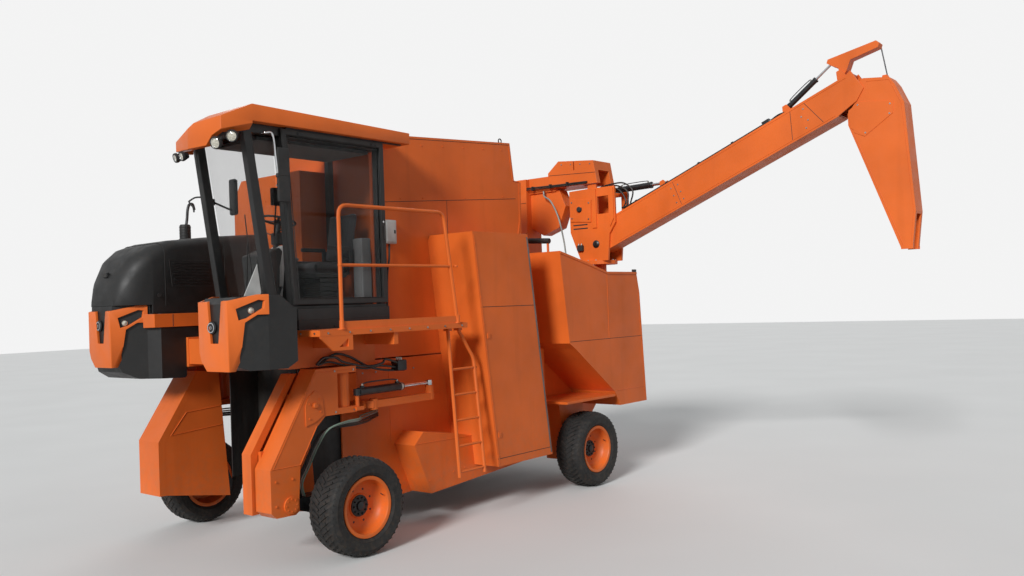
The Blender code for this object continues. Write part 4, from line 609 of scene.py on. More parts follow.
def slab(outline: Outline, axis: Axis, low: float, high: float, edge: float = 0.0) -> bmesh.types.BMesh:
    """A flat outline given a thickness along one axis, with rounded edges.

    Args:
        outline: its corners in the plane across the axis.
        axis: the axis of its thickness.
        low: where it starts on that axis.
        high: where it ends.
        edge: how far its edges are rounded.

    Returns:
        The slab.
    """
    bm = bmesh.new()
    face = bm.faces.new([bm.verts.new((u, v, low)) for u, v in outline])
    grown = bmesh.ops.extrude_face_region(bm, geom=[face])["geom"]
    bmesh.ops.translate(
        bm, vec=(0, 0, high - low), verts=[v for v in grown if isinstance(v, bmesh.types.BMVert)]
    )
    bmesh.ops.recalc_face_normals(bm, faces=bm.faces)
    rounded(bm, edge, 2, 30.0)
    bm.transform(AXIS_FRAMES[axis])
    return bm


def turned(profile: Outline, centre: Point, way: Point, steps: int = 48) -> bmesh.types.BMesh:
    """A profile of (radius, along) spun round an axis through centre.

    Args:
        profile: the points, as radius and distance along the axis.
        centre: the axis's zero point.
        way: where the axis looks.
        steps: how many steps make a full turn.

    Returns:
        The turned shape.
    """
    bm = bmesh.new()
    verts = [bm.verts.new((r, 0, t)) for r, t in profile]
    edges = [bm.edges.new(pair) for pair in zip(verts, verts[1:])]
    if profile[0][0] > 0:
        edges.append(bm.edges.new((verts[-1], verts[0])))
    bmesh.ops.spin(
        bm, geom=verts + edges, cent=(0, 0, 0), axis=(0, 0, 1), dvec=(0, 0, 0), angle=math.tau, steps=steps,
        use_merge=True, use_normal_flip=False, use_duplicate=False,
    )
    bmesh.ops.remove_doubles(bm, verts=bm.verts, dist=MADE_MERGE)
    bmesh.ops.recalc_face_normals(bm, faces=bm.faces)
    bm.transform(Matrix.Translation(centre) @ Vector(way).to_track_quat("Z", "Y").to_matrix().to_4x4())
    return bm


def smooth_route(points: list[Point], steps: int = 6, closed: bool = False) -> list[Vector]:
    """A smooth route through every point.

    Args:
        points: the points.
        steps: how many stretches lie between two of them.
        closed: whether it comes back to its start.

    Returns:
        The route's points.
    """
    knots = [Vector(p) for p in points]
    if closed:
        padded = [knots[-1], *knots, knots[0], knots[1]]
    else:
        padded = [knots[0] * 2 - knots[1], *knots, knots[-1] * 2 - knots[-2]]
    route = []
    for a, b, c, d in zip(padded, padded[1:], padded[2:], padded[3:]):
        for i in range(steps):
            t = i / steps
            bend = (a * 2 - b * 5 + c * 4 - d) * t * t
            route.append((b * 2 + (c - a) * t + bend + (b * 3 - a - c * 3 + d) * t ** 3) / 2)
    return route if closed else route + [knots[-1]]


def pipe(route: list[Vector], radius: float, sides: int = 3, closed: bool = False) -> bmesh.types.BMesh:
    """A round tube along a route, with filled ends.

    Args:
        route: the middle line.
        radius: the tube's radius.
        sides: its bevel resolution.
        closed: whether the route is a ring.

    Returns:
        The tube.
    """
    curve = bpy.data.curves.new("route", "CURVE")
    curve.dimensions = "3D"
    curve.bevel_depth = radius
    curve.bevel_resolution = sides
    curve.use_fill_caps = not closed
    spline = curve.splines.new("POLY")
    spline.points.add(len(route) - 1)
    for point, place in zip(spline.points, route):
        point.co = (*place, 1.0)
    spline.use_cyclic_u = closed
    holder = bpy.data.objects.new("route", curve)
    mesh = bpy.data.meshes.new_from_object(holder)
    bpy.data.objects.remove(holder)
    bpy.data.curves.remove(curve)
    bm = bmesh.new()
    bm.from_mesh(mesh)
    bpy.data.meshes.remove(mesh)
    bmesh.ops.remove_doubles(bm, verts=bm.verts, dist=MADE_MERGE)
    bmesh.ops.recalc_face_normals(bm, faces=bm.faces)
    return bm


class Form:
    """One piece of the object, put together in the machine's own frame."""

    def __init__(self, name: str, body: str) -> None:
        """Starts an empty piece.

        Args:
            name: the piece's name.
            body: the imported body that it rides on.
        """
        self.name = name
        self.body = body
        self.whole = bmesh.new()
        self.finishes: list[Finish] = []

    def add(self, bm: bmesh.types.BMesh, finish: Finish, at: Matrix | None = None) -> "Form":
        """Takes a shaped bmesh into the piece.

        Args:
            bm: the shape, which is freed.
            finish: what it is finished in.
            at: a frame to move it by first.

        Returns:
            The form itself.
        """
        if finish not in self.finishes:
            self.finishes.append(finish)
        for face in bm.faces:
            face.material_index = self.finishes.index(finish)
        if at is not None:
            bm.transform(at)
        store = bpy.data.meshes.new("store")
        bm.to_mesh(store)
        bm.free()
        self.whole.from_mesh(store)
        bpy.data.meshes.remove(store)
        return self

    def cube(self, low: Point, high: Point, finish: Finish, edge: float = 0.004) -> "Form":
        """Adds a box with rounded edges."""
        return self.add(cube(low, high, edge), finish)

    def bar(
        self, start: Point, end: Point, radius: float, finish: Finish, sides: int = 20,
        end_radius: float | None = None, edge: float = 0.0,
    ) -> "Form":
        """Adds a cylinder or cone."""
        return self.add(round_bar(start, end, radius, sides, end_radius, edge), finish)

    def slab(
        self, outline: Outline, axis: Axis, low: float, high: float, finish: Finish, edge: float = 0.003
    ) -> "Form":
        """Adds a flat outline with a thickness."""
        return self.add(slab(outline, axis, low, high, edge), finish)

    def turned(self, profile: Outline, centre: Point, way: Point, finish: Finish, steps: int = 40) -> "Form":
        """Adds a spun profile."""
        return self.add(turned(profile, centre, way, steps), finish)

    def pipe(
        self, points: list[Point], radius: float, finish: Finish, sides: int = 3, steps: int = 6
    ) -> "Form":
        """Adds a tube on a smooth route through the points."""
        return self.add(pipe(smooth_route(points, steps), radius, sides), finish)

    def seam(self, *points: Point, finish: Finish | None = None, width: float = 0.0035) -> "Form":
        """Adds a thin dark line along straight stretches, half sunk in the sheet it lies on."""
        return self.add(pipe([Vector(p) for p in points], width, 1), finish or SOFT_BLACK)

    def bolt(self, place: Point, way: Point, size: float = 0.010, finish: Finish | None = None) -> "Form":
        """Adds a washer and a hexagon head that look along `way`.

        Args:
            place: the middle of its seat.
            way: where it looks.
            size: the head's radius.
            finish: its finish, or zinc.

        Returns:
            The form itself.
        """
        foot, out = Vector(place), Vector(way).normalized()
        self.bar(foot - out * 0.002, foot + out * 0.003, size * 1.35, finish or ZINC, 12)
        return self.bar(foot + out * 0.003, foot + out * (0.003 + size * 0.75), size, finish or ZINC, 6)

    def bolts(
        self, start: Point, end: Point, count: int, way: Point, size: float = 0.010,
        finish: Finish | None = None
    ) -> "Form":
        """Adds a straight row of bolts.

        Args:
            start: the first bolt's seat.
            end: the last bolt's seat.
            count: how many bolts.
            way: where they look.
            size: the heads' radius.
            finish: their finish, or zinc.

        Returns:
            The form itself.
        """
        first, last = Vector(start), Vector(end)
        for i in range(count):
            self.bolt(tuple(first.lerp(last, i / max(count - 1, 1))), way, size, finish)
        return self

    def done(self, *stands_for: str, sharp: float = 38.0, rides: bool = True) -> bpy.types.Object:
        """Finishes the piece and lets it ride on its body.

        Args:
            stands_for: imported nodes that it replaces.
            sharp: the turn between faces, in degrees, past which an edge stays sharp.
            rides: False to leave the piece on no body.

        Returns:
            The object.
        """
        bmesh.ops.translate(self.whole, vec=ORIGIN, verts=self.whole.verts)
        mesh = bpy.data.meshes.new(self.name)
        self.whole.to_mesh(mesh)
        self.whole.free()
        mesh.shade_smooth()
        mesh.set_sharp_from_angle(angle=math.radians(sharp))
        for finish in self.finishes:
            mesh.materials.append(finish.material())
        made = bpy.data.objects.new(self.name, mesh)
        bpy.context.scene.collection.objects.link(made)
        even = made.modifiers.new("even_shading", "WEIGHTED_NORMAL")
        even.keep_sharp = True
        if rides:
            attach(made, self.body)
        if stands_for:
            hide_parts(*stands_for)
        log.info("%s: %d faces on %s", self.name, len(mesh.polygons), self.body)
        return made


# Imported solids
@dataclass
class Solids:
    """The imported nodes: what each is finished in, and how far its edges are rounded."""

    edge: float = 0.006

    finishes = {
        "main_frame": ORANGE, "front_leg_left": ORANGE, "front_leg_right": ORANGE, "rear_leg_left": ORANGE,
        "rear_leg_right": ORANGE, "side_housing_left": ORANGE, "side_housing_right": ORANGE,
        "upper_body": ORANGE, "hopper": ORANGE, "cab_roof": ORANGE_CLEAN, "nose_left": ORANGE_CLEAN,
        "nose_right": ORANGE_CLEAN, "platform": ORANGE, "ladder": ORANGE, "discharge_head": ORANGE,
        "turret": ORANGE, "boom": ORANGE, "spout": ORANGE, "crank": ORANGE, "cab_base": BLACK_PAINT,
        "cab_frame": BLACK_PAINT, "door": BLACK_PAINT, "bonnet": HOOD_BLACK, "engine_tray": HOOD_BLACK,
        "steering_column": SOFT_BLACK, "operator_seat": CLOTH, "cab_glass": GLASS, "door_glass": GLASS,
        "curtain": CURTAIN, "collector_left": CAST, "collector_right": CAST, "engine_block": CAST,
        "knuckle_front_left": DARK_METAL, "knuckle_front_right": DARK_METAL,
        "shaker_rotor_left": DARK_METAL, "shaker_rotor_right": DARK_METAL, "pull_rod": DARK_METAL,
        "lift_barrel": DARK_METAL, "spout_cylinder_barrel": DARK_METAL, "steering_barrel_left": DARK_METAL,
        "steering_barrel_right": DARK_METAL, "lift_rod": ROD, "spout_cylinder_rod": ROD,
        "steering_rod_left": ROD, "steering_rod_right": ROD,
    }
    thin = ("cab_glass", "door_glass", "collector_left", "collector_right", "pull_rod", "curtain")

    def dress(self) -> None:
        """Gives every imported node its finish, and rounds the edges of the stout ones."""
        for name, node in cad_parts.items():
            finish = self.finishes.get(name, ORANGE)
            if not node.material_slots:
                node.data.materials.append(None)
            for place in node.material_slots:
                place.material = finish.material()
            if name not in self.thin:
                self.round_edges(node)
        log.info("packed nodes dressed: %d", len(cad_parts))

    def round_edges(self, node: bpy.types.Object) -> None:
        """Welds a node's loose triangles for the modifiers and rounds its sharp edges.

        Args:
            node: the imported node.
        """
        weld = node.modifiers.new("weld", "WELD")
        weld.merge_threshold = PACKED_MERGE
        bevel = node.modifiers.new("round_edges", "BEVEL")
        bevel.limit_method = "ANGLE"
        bevel.angle_limit = math.radians(42)
        bevel.width = self.edge
        bevel.segments = 2
        bevel.harden_normals = True


# Wheels
@dataclass
class Wheel:
    """A treaded tyre on its dished rim."""

    name: str
    body: str
    x: float
    y: float
    radius: float = 0.505
    bead: float = 0.2925
    studs: int = 10
    slots: int = 8
    shoulder: float = 0.10
    shoulder_slope: float = 16.0
    shoulder_drop: float = 0.014
    block_sunk: float = 0.015

    @property
    def out(self) -> float:
        """The sign of the side that the wheel looks to."""
        return math.copysign(1.0, self.x)

    @property
    def centre(self) -> Point:
        """The wheel's centre."""
        return (self.x, self.y, self.radius)

    def build(self) -> None:
        """Builds the tyre and the rim."""
        self.tyre()
        self.rim()

    def tyre(self) -> None:
        """The carcass with bead rings and side ribs, and four rows of tread blocks."""
        form = Form("treaded_tyre_" + self.name, self.body)
        flank = [
            (self.bead, 0.148), (0.316, 0.153), (0.326, 0.168), (0.345, 0.181), (0.352, 0.189), (0.360, 0.186),
            (0.395, 0.196), (0.420, 0.199), (0.428, 0.203), (0.437, 0.198), (0.462, 0.188), (0.478, 0.170),
            (0.487, 0.140), (0.490, 0.105), (0.4865, 0.098), (0.4865, 0.080), (0.491, 0.073), (0.492, 0.0),
        ]
        profile = flank + [(r, -t) for r, t in reversed(flank[:-1])]
        form.turned(profile, self.centre, (self.out, 0, 0), TYRE, 72)
        pitches, lean, step = 46, 33.0, 0.112
        for i in range(pitches):
            turn = i * math.tau / pitches
            for sign, start in ((1, 0.0), (-1, 0.5 * math.tau / pitches)):
                self.block(form, sign * 0.006, sign * 0.098, sign * lean, turn + start, 0.5010)
                self.block(form, sign * 0.094, sign * 0.184, sign * lean, turn + start - step, 0.4990)
        form.done("tyre_" + self.name)

    def block(self, form: Form, low: float, high: float, lean: float, turn: float, reach: float) -> None:
        """One tread block.

        Args:
            form: the tyre.
            low: the block's near end across the tread.
            high: its far end.
            lean: its slant on the tread, in degrees.
            turn: its place round the tyre, in radians.
            reach: the radius of its top.
        """
        bm = bmesh.new()
        bmesh.ops.create_cube(bm, size=1.0)
        bmesh.ops.scale(bm, vec=(abs(high - low) * 1.12, 0.030, 0.034), verts=bm.verts)
        top = [v for v in bm.verts if v.co.z > 0]
        bmesh.ops.scale(bm, vec=(0.98, 0.80, 1.0), verts=top)
        middle = (low + high) / 2
        drop = 0.0
        if abs(middle) > self.shoulder:
            drop = self.shoulder_drop
            slope = Matrix.Rotation(math.radians(math.copysign(self.shoulder_slope, middle)), 3, "Y")
            bmesh.ops.rotate(bm, cent=(0, 0, 0), matrix=slope, verts=bm.verts)
        tilt = Matrix.Rotation(math.radians(lean), 4, "Z")
        lift = Matrix.Translation((middle, 0, reach - self.block_sunk - drop))
        spun = Matrix.Rotation(turn, 4, "X")
        form.add(bm, TYRE, Matrix.Translation(self.centre) @ spun @ lift @ tilt)

    def rim(self) -> None:
        """The orange dish, its black hub with studs, and the valve."""
        form = Form("dished_rim_" + self.name, self.body)
        way = (self.out, 0, 0)
        dish = [
            (0.0, 0.030), (0.118, 0.030), (0.128, 0.014), (0.150, 0.012), (0.196, 0.012), (0.214, 0.018),
            (0.236, 0.040), (0.256, 0.064), (0.268, 0.096), (0.271, 0.150), (0.278, 0.166), (0.292, 0.171),
            (0.312, 0.171), (0.3155, 0.166), (0.3155, 0.158), (0.300, 0.152), (0.2915, 0.148),
            (0.2915, -0.148), (0.300, -0.152), (0.3155, -0.158), (0.3155, -0.166), (0.292, -0.171),
            (0.276, -0.164), (0.268, -0.10), (0.236, -0.014), (0.0, -0.014),
        ]
        form.turned(dish, self.centre, way, ORANGE, 72)
        form.turned(
            [(0.0, 0.046), (0.092, 0.046), (0.108, 0.040), (0.112, 0.028), (0.0, 0.026)], self.centre, way,
            SOFT_BLACK, 40
        )
        form.turned(
            [(0.0, 0.074), (0.034, 0.072), (0.046, 0.064), (0.052, 0.044), (0.0, 0.042)], self.centre, way,
            DARK_METAL, 32
        )
        for u, v in around(self.studs, 0.084):
            y, z = self.y + u, self.radius + v
            form.bar(
                (self.x + self.out * 0.04, y, z), (self.x + self.out * 0.066, y, z), 0.007, DARK_METAL, 10
            )
            form.bar(
                (self.x + self.out * 0.044, y, z), (self.x + self.out * 0.057, y, z), 0.0125, DARK_METAL, 6
            )
        for u, v in around(self.slots, 0.172, 0.5):
            y, z = self.y + u, self.radius + v
            form.turned([(0.012, 0.0135), (0.018, 0.010), (0.012, 0.011)], (self.x, y, z), way, ORANGE, 16)
            form.bar(
                (self.x + self.out * 0.005, y, z), (self.x + self.out * 0.0125, y, z), 0.012, SOFT_BLACK, 16
            )
        valve = (self.x + self.out * 0.10, self.y + 0.235, self.radius + 0.09)
        form.bar(
            valve, (valve[0] + self.out * 0.045, valve[1] - 0.012, valve[2] - 0.005), 0.005, SOFT_BLACK, 8
        )
        form.done("rim_" + self.name)


@dataclass
class Skin:
    """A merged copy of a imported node, with rounded edges and smooth shading."""

    node: str
    body: str
    finish: Finish
    edge: float = 0.010

    def form(self) -> Form:
        """The copy as a form that more shapes can join."""
        bm = bmesh.new()
        bm.from_mesh(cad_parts[self.node].data)
        bmesh.ops.remove_doubles(bm, verts=bm.verts, dist=PACKED_MERGE)
        return Form("skin_of_" + self.node, self.body).add(bm, self.finish, Matrix.Translation(-ORIGIN))

    def build(self) -> bpy.types.Object:
        """Builds the copy in place of its node."""
        made = self.form().done(self.node, sharp=180.0)
        made.modifiers.clear()
        bevel = made.modifiers.new("round_edges", "BEVEL")
        bevel.limit_method = "ANGLE"
        bevel.angle_limit = math.radians(34)
        bevel.width = self.edge
        bevel.segments = 3
        bevel.harden_normals = True
        return made


@dataclass
class WorkLamp:
    """A round work lamp: dark ring, bright reflector edge and a faceted glass."""

    radius: float
    ring: Finish = SOFT_BLACK

    def put(self, form: Form, centre: Point, way: Point) -> None:
        """Adds the lamp to a form.

        Args:
            form: the piece that carries it.
            centre: the middle of its back.
            way: where it looks.
        """
        r = self.radius
        form.turned(
            [(r * 0.96, 0.0), (r * 1.20, 0.0), (r * 1.22, 0.016), (r * 1.10, 0.030), (r * 0.98, 0.028)],
            centre, way, self.ring, 32
        )
        form.turned(
            [(r * 0.86, 0.006), (r * 1.0, 0.006), (r * 1.0, 0.024), (r * 0.93, 0.026), (r * 0.86, 0.018)],
            centre, way, CHROME, 32
        )
        form.turned(
            [(0.0, 0.024), (r * 0.5, 0.022), (r * 0.88, 0.014), (r * 0.88, 0.002), (0.0, 0.0)], centre, way,
            LAMP, 32
        )


# Cab
@dataclass
class Cushion:
    """One padded cushion, blown up softly from a rounded block."""

    name: str
    low: Point
    high: Point
    lean: float = 0.0
    voxel: float = 0.007
    cap: float = 0.020
    pressure: float = 4.0
    frames: int = 20

    def build(self) -> bpy.types.Object:
        """Returns:
            The cushion.
        """
        form = Form(self.name, "chassis")
        block = cube(self.low, self.high, 0.028, 4)
        foot = Vector(((self.low[0] + self.high[0]) / 2, (self.low[1] + self.high[1]) / 2, self.low[2]))
        lean = Matrix.Rotation(math.radians(self.lean), 4, "X")
        turn = Matrix.Translation(foot) @ lean @ Matrix.Translation(-foot)
        made = form.add(block, CLOTH, turn).done(sharp=80.0)
        made.modifiers.clear()
        self.inflate(made)
        return made

    def settle(self, made: bpy.types.Object) -> bpy.types.Mesh:
        """The object's mesh with its modifiers applied."""
        graph = bpy.context.evaluated_depsgraph_get()
        return bpy.data.meshes.new_from_object(made.evaluated_get(graph))

    def inflate(self, made: bpy.types.Object) -> None:
        """Remeshes the cushion and lets pressure fill its cloth.

        Args:
            made: the cushion.
        """
        scene = bpy.context.scene
        remesh = made.modifiers.new("even_grid", "REMESH")
        remesh.mode = "VOXEL"
        remesh.voxel_size = self.voxel
        mesh = self.settle(made)
        made.modifiers.clear()
        made.data = mesh
        start = [v.co.copy() for v in mesh.vertices]
        cloth = made.modifiers.new("filling", "CLOTH")
        cloth.settings.use_pressure = True
        cloth.settings.uniform_pressure_force = self.pressure
        cloth.settings.effector_weights.gravity = 0.0
        cloth.point_cache.frame_start = 1
        cloth.point_cache.frame_end = self.frames
        for number in range(1, self.frames + 1):
            scene.frame_set(number)
        full = self.settle(made)
        made.modifiers.clear()
        made.data = full
        for vertex, first in zip(full.vertices, start):
            move = vertex.co - first
            if move.length > self.cap:
                vertex.co = first + move.normalized() * self.cap
        scene.frame_set(1)
        full.materials.clear()
        full.materials.append(CLOTH.material())
        full.shade_smooth()
        soft = made.modifiers.new("soften", "SUBSURF")
        soft.levels = soft.render_levels = 1


@dataclass
class OperatorSeat:
    """The seat: suspension with bellows, pan, two cushions, side piping and armrests."""

    x: float = 0.66
    half: float = 0.215

    def build(self) -> None:
        """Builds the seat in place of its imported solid."""
        x, half = self.x, self.half
        Cushion("seat_cushion", (x - half, -2.055, 2.955), (x + half, -1.625, 3.035)).build()
        Cushion("seat_back_cushion", (x - half, -1.590, 3.075), (x + half, -1.515, 3.625), lean=-9.5).build()
        form = Form("seat_suspension", "chassis")
        form.cube((x - 0.17, -1.98, 2.583), (x + 0.17, -1.60, 2.64), SOFT_BLACK, 0.012)
        for i in range(5):
            inset = 0.016 * (i % 2)
            form.cube(
                (x - 0.15 + inset, -1.95 + inset, 2.64 + 0.048 * i),
                (x + 0.15 - inset, -1.63 - inset, 2.69 + 0.048 * i), HOSE, 0.012
            )
        form.cube((x - 0.19, -2.03, 2.886), (x + 0.19, -1.60, 2.935), SOFT_BLACK, 0.012)
        form.slab(
            [(-1.60, 2.90), (-1.52, 2.92), (-1.445, 3.50), (-1.475, 3.52), (-1.55, 3.02)], Axis.X, x - 0.14,
            x + 0.14, SOFT_BLACK, 0.008
        )
        for sign in (-1, 1):
            side = x + sign * 0.232
            form.cube((side - 0.014, -1.60, 3.02), (side + 0.014, -1.54, 3.20), DARK_METAL, 0.005)
            form.cube((side - 0.016, -1.90, 3.19), (side + 0.016, -1.56, 3.235), SOFT_BLACK, 0.014)
        form.done("operator_seat")


@dataclass
class SteeringWheel:
    """The wheel with three spokes, its column with gaiter and the stalk."""

    x: float = 0.66
    hub: Point = (0.66, -2.36, 3.50)
    ring: float = 0.178
    grip: float = 0.0125

    def build(self) -> None:
        """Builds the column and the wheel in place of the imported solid."""
        form = Form("steering_wheel_and_column", "chassis")
        lean = Matrix.Translation(self.hub) @ Matrix.Rotation(math.radians(-14), 4, "X")
        circle = [Vector((u, v, 0)) for u, v in around(44, self.ring)]
        form.add(pipe(circle, self.grip, 4, closed=True), SOFT_BLACK, lean)
        for angle in (90, 215, 325):
            spoke = cube((0.03, -0.014, -0.020), (self.ring - 0.004, 0.014, -0.008), 0.004)
            form.add(spoke, DARK_METAL, lean @ Matrix.Rotation(math.radians(angle), 4, "Z"))
        form.add(
            turned(
                [(0.0, 0.006), (0.040, 0.002), (0.050, -0.010), (0.044, -0.034), (0.0, -0.036)], (0, 0, 0),
                (0, 0, 1)
            ),
            SOFT_BLACK, lean
        )
        form.bar((self.x, -2.50, 2.60), (self.x, -2.365, 3.475), 0.030, SOFT_BLACK, 24)
        form.slab(
            [(-2.53, 2.62), (-2.40, 2.62), (-2.33, 3.20), (-2.37, 3.24), (-2.46, 3.18)], Axis.X,
            self.x - 0.09, self.x + 0.09, LIGHT_TRIM, 0.024
        )
        for i in range(6):
            share = 0.04 + i * 0.035
            place = Vector((self.x, -2.385, 3.26)).lerp(Vector((self.x, -2.25, 4.04)), share)
            form.turned(
                [(0.030, -0.006), (0.052 - i * 0.003, 0.0), (0.030, 0.006)], tuple(place), (0, 0.15, 0.98),
                HOSE, 24
            )
        form.cube((self.x - 0.055, -2.43, 3.24), (self.x + 0.055, -2.335, 3.37), SOFT_BLACK, 0.014)
        form.bar((self.x - 0.05, -2.38, 3.34), (self.x - 0.17, -2.39, 3.38), 0.006, SOFT_BLACK, 10)
        form.done("steering_column")


@dataclass
class CabTrim:
    """Everything small on and in the cab."""

    near: float = 1.155

    def build(self) -> None:
        """Builds the cab's trim."""
        self.inside()
        self.door()
        self.outside()
        self.lamps()
        self.mirror()

    def inside(self) -> None:
        """Headliner, floor mat, consoles, levers, pedals and the grey cabinet."""
        form = Form("cab_inside", "chassis")
        # The headliner is painted near-black as painted shade under the roof.
        form.cube((0.30, -2.86, 4.262), (1.02, -1.38, 4.300), SHADED_LINING, 0.012)
        form.cube((0.30, -2.68, 2.584), (1.02, -1.38, 2.596), SOFT_BLACK, 0.004)
        form.slab(
            [(-2.66, 2.60), (-2.52, 2.60), (-2.50, 3.00), (-2.46, 3.16), (-2.50, 3.20), (-2.70, 3.12)],
            Axis.X, 0.46, 0.86, SOFT_BLACK, 0.014
        )
        form.slab(
            [(-2.476, 3.03), (-2.470, 3.03), (-2.452, 3.13), (-2.458, 3.13)], Axis.X, 0.53, 0.70, DARK_METAL,
            0.001
        )
        form.cube((0.30, -2.42, 2.60), (0.40, -1.52, 3.09), SOFT_BLACK, 0.020)
        form.cube((0.305, -2.38, 3.09), (0.395, -1.90, 3.13), GREY_TRIM, 0.016)
        form.bar((0.35, -2.28, 3.12), (0.35, -2.30, 3.26), 0.009, DARK_METAL, 12)
        form.turned(
            [(0.0, 0.075), (0.020, 0.066), (0.026, 0.040), (0.018, 0.0), (0.0, 0.0)], (0.35, -2.30, 3.24),
            (0, -0.14, 1), SOFT_BLACK, 20
        )
        for i in range(3):
            form.bar((0.33, -2.16 + i * 0.05, 3.12), (0.33, -2.17 + i * 0.05, 3.19), 0.005, DARK_METAL, 8)
            form.turned(
                [(0.0, 0.02), (0.010, 0.014), (0.010, 0.0), (0.0, -0.004)], (0.33, -2.17 + i * 0.05, 3.19),
                (0, 0, 1), SOFT_BLACK, 12
            )
        form.cube((0.86, -1.52, 2.60), (1.02, -1.385, 3.32), GREY_TRIM, 0.014)
        form.cube((0.88, -1.527, 2.68), (1.00, -1.519, 3.22), GREY_TRIM, 0.003)
        for x in (0.56, 0.66, 0.78):
            form.slab(
                [(-2.52, 2.66), (-2.505, 2.66), (-2.44, 2.79), (-2.455, 2.795)], Axis.X, x - 0.032, x + 0.032,
                DARK_METAL, 0.002
            )
        form.cube((0.94, -2.66, 3.62), (1.00, -2.50, 3.80), SOFT_BLACK, 0.010)
        form.cube((0.935, -2.64, 3.64), (0.941, -2.52, 3.78), DARK_METAL, 0.001)
        form.bar((0.98, -2.62, 3.62), (0.99, -2.66, 3.30), 0.008, SOFT_BLACK, 10)
        form.done()

    def door(self) -> None:
        """Door handle, lock, rubber seal round the pane, and the slide's shoes."""
        form = Form("door_handle_and_seal", "door")
        x = self.near
        form.cube((x, -1.345, 3.27), (x + 0.007, -1.282, 3.48), SOFT_BLACK, 0.003)
        form.pipe(
            [
                (x + 0.004, -1.31, 3.30), (x + 0.022, -1.31, 3.31), (x + 0.024, -1.31, 3.38),
                (x + 0.022, -1.31, 3.44), (x + 0.004, -1.31, 3.45)
            ],
            0.007, SOFT_BLACK, 2
        )
        form.bar((x, -1.314, 3.495), (x + 0.008, -1.314, 3.495), 0.012, CHROME, 16)
        for points in (
            [(-2.492, 2.655), (-2.588, 4.322), (-1.338, 4.322), (-1.338, 2.655), (-2.492, 2.655)],
            [(-2.548, 2.600), (-2.645, 4.374)],
        ):
            form.seam(*[(x, y, z) for y, z in points], width=0.005)
        for y in (-2.42, -1.42):
            form.cube((x, y - 0.04, 4.335), (x + 0.006, y + 0.04, 4.365), DARK_METAL, 0.002)
            form.bolts(
                (x + 0.006, y - 0.025, 4.35), (x + 0.006, y + 0.025, 4.35), 2, (1, 0, 0), 0.006, DARK_METAL
            )
        form.done()

    def outside(self) -> None:
        """Grab rod, relay box, mirror hook, wiper, windscreen corner plate, seams and seals."""
        form = Form("cab_outside", "chassis")
        form.pipe(
            [
                (1.13, -2.869, 4.313), (1.178, -2.861, 4.311), (1.18, -2.779, 4.301), (1.18, -2.749, 4.074),
                (1.18, -2.732, 3.935), (1.18, -2.713, 3.821), (1.13, -2.709, 3.80)
            ],
            0.011, CHROME, 3
        )
        form.turned(
            [(0.0, 0.024), (0.016, 0.018), (0.018, -0.018), (0.0, -0.024)], (1.18, -2.733, 3.897),
            (0, 0.1, 1), SOFT_BLACK, 16
        )
        form.cube((1.160, -2.735, 3.63), (1.200, -2.59, 4.18), SOFT_BLACK, 0.014)
        form.seam((1.200, -2.72, 3.90), (1.200, -2.605, 3.90))
        form.cube((1.120, -2.70, 3.70), (1.162, -2.66, 3.76), DARK_METAL, 0.004)
        form.pipe(
            [(-0.016, -3.0, 3.735), (0.03, -3.01, 3.70), (0.07, -3.0, 3.66), (0.076, -3.0, 3.611)], 0.009,
            SOFT_BLACK, 2
        )
        form.pipe([(0.205, -2.93, 3.76), (0.10, -2.99, 3.765), (-0.016, -3.0, 3.735)], 0.009, SOFT_BLACK, 2)
        form.slab(
            [(-3.129, 2.693), (-2.969, 3.006), (-2.932, 2.725), (-2.95, 2.693)], Axis.X, 1.120, 1.128,
            LIGHT_TRIM, 0.002
        )
        lean = [(0.66, -2.772, 2.60), (0.68, -2.800, 2.66), (0.84, -2.876, 3.22)]
        form.pipe(lean, 0.007, SOFT_BLACK, 2, 3)
        form.bar((0.66, -2.740, 2.60), (0.66, -2.785, 2.60), 0.018, SOFT_BLACK, 16)
        form.bar((0.80, -2.795, 2.78), (0.86, -2.912, 3.52), 0.006, SOFT_BLACK, 8)
        for low, high in ((0.196, 0.286), (1.036, 1.119)):
            form.slab(
                [(-2.835, 2.585), (-2.735, 2.585), (-2.990, 4.385), (-3.085, 4.385)], Axis.X, low, high,
                BLACK_PAINT, 0.010
            )
        form.slab(
            [(-2.560, 2.585), (-2.480, 2.585), (-2.560, 4.385), (-2.660, 4.385)], Axis.X, 1.030, 1.117,
            BLACK_PAINT, 0.010
        )
        form.seam((0.25, -2.81, 2.62), (0.25, -3.07, 4.28), width=0.006)
        form.seam((1.118, -2.735, 2.62), (1.118, -2.99, 4.28), width=0.005)
        form.seam((1.118, -1.30, 2.60), (1.118, -1.30, 4.30), width=0.005)
        form.cube((0.802, -1.03, 3.28), (0.880, -0.85, 3.56), LIGHT_TRIM, 0.012)
        form.cube((0.878, -1.01, 3.30), (0.888, -0.87, 3.54), LIGHT_TRIM, 0.005)
        form.cube((0.886, -0.90, 3.40), (0.894, -0.88, 3.44), SOFT_BLACK, 0.002)
        form.pipe(
            [(0.84, -0.94, 3.29), (0.84, -0.95, 3.10), (0.82, -0.97, 2.90), (0.81, -0.98, 2.40)], 0.012, HOSE,
            2
        )
        form.seam((1.165, -2.60, 2.44), (1.165, -1.30, 2.44))
        form.bolts((1.165, -2.52, 2.36), (1.165, -1.36, 2.36), 6, (1, 0, 0), 0.008, DARK_METAL)
        form.cube((1.118, -2.60, 4.385), (1.160, -1.00, 4.398), DARK_METAL, 0.002)
        form.done()

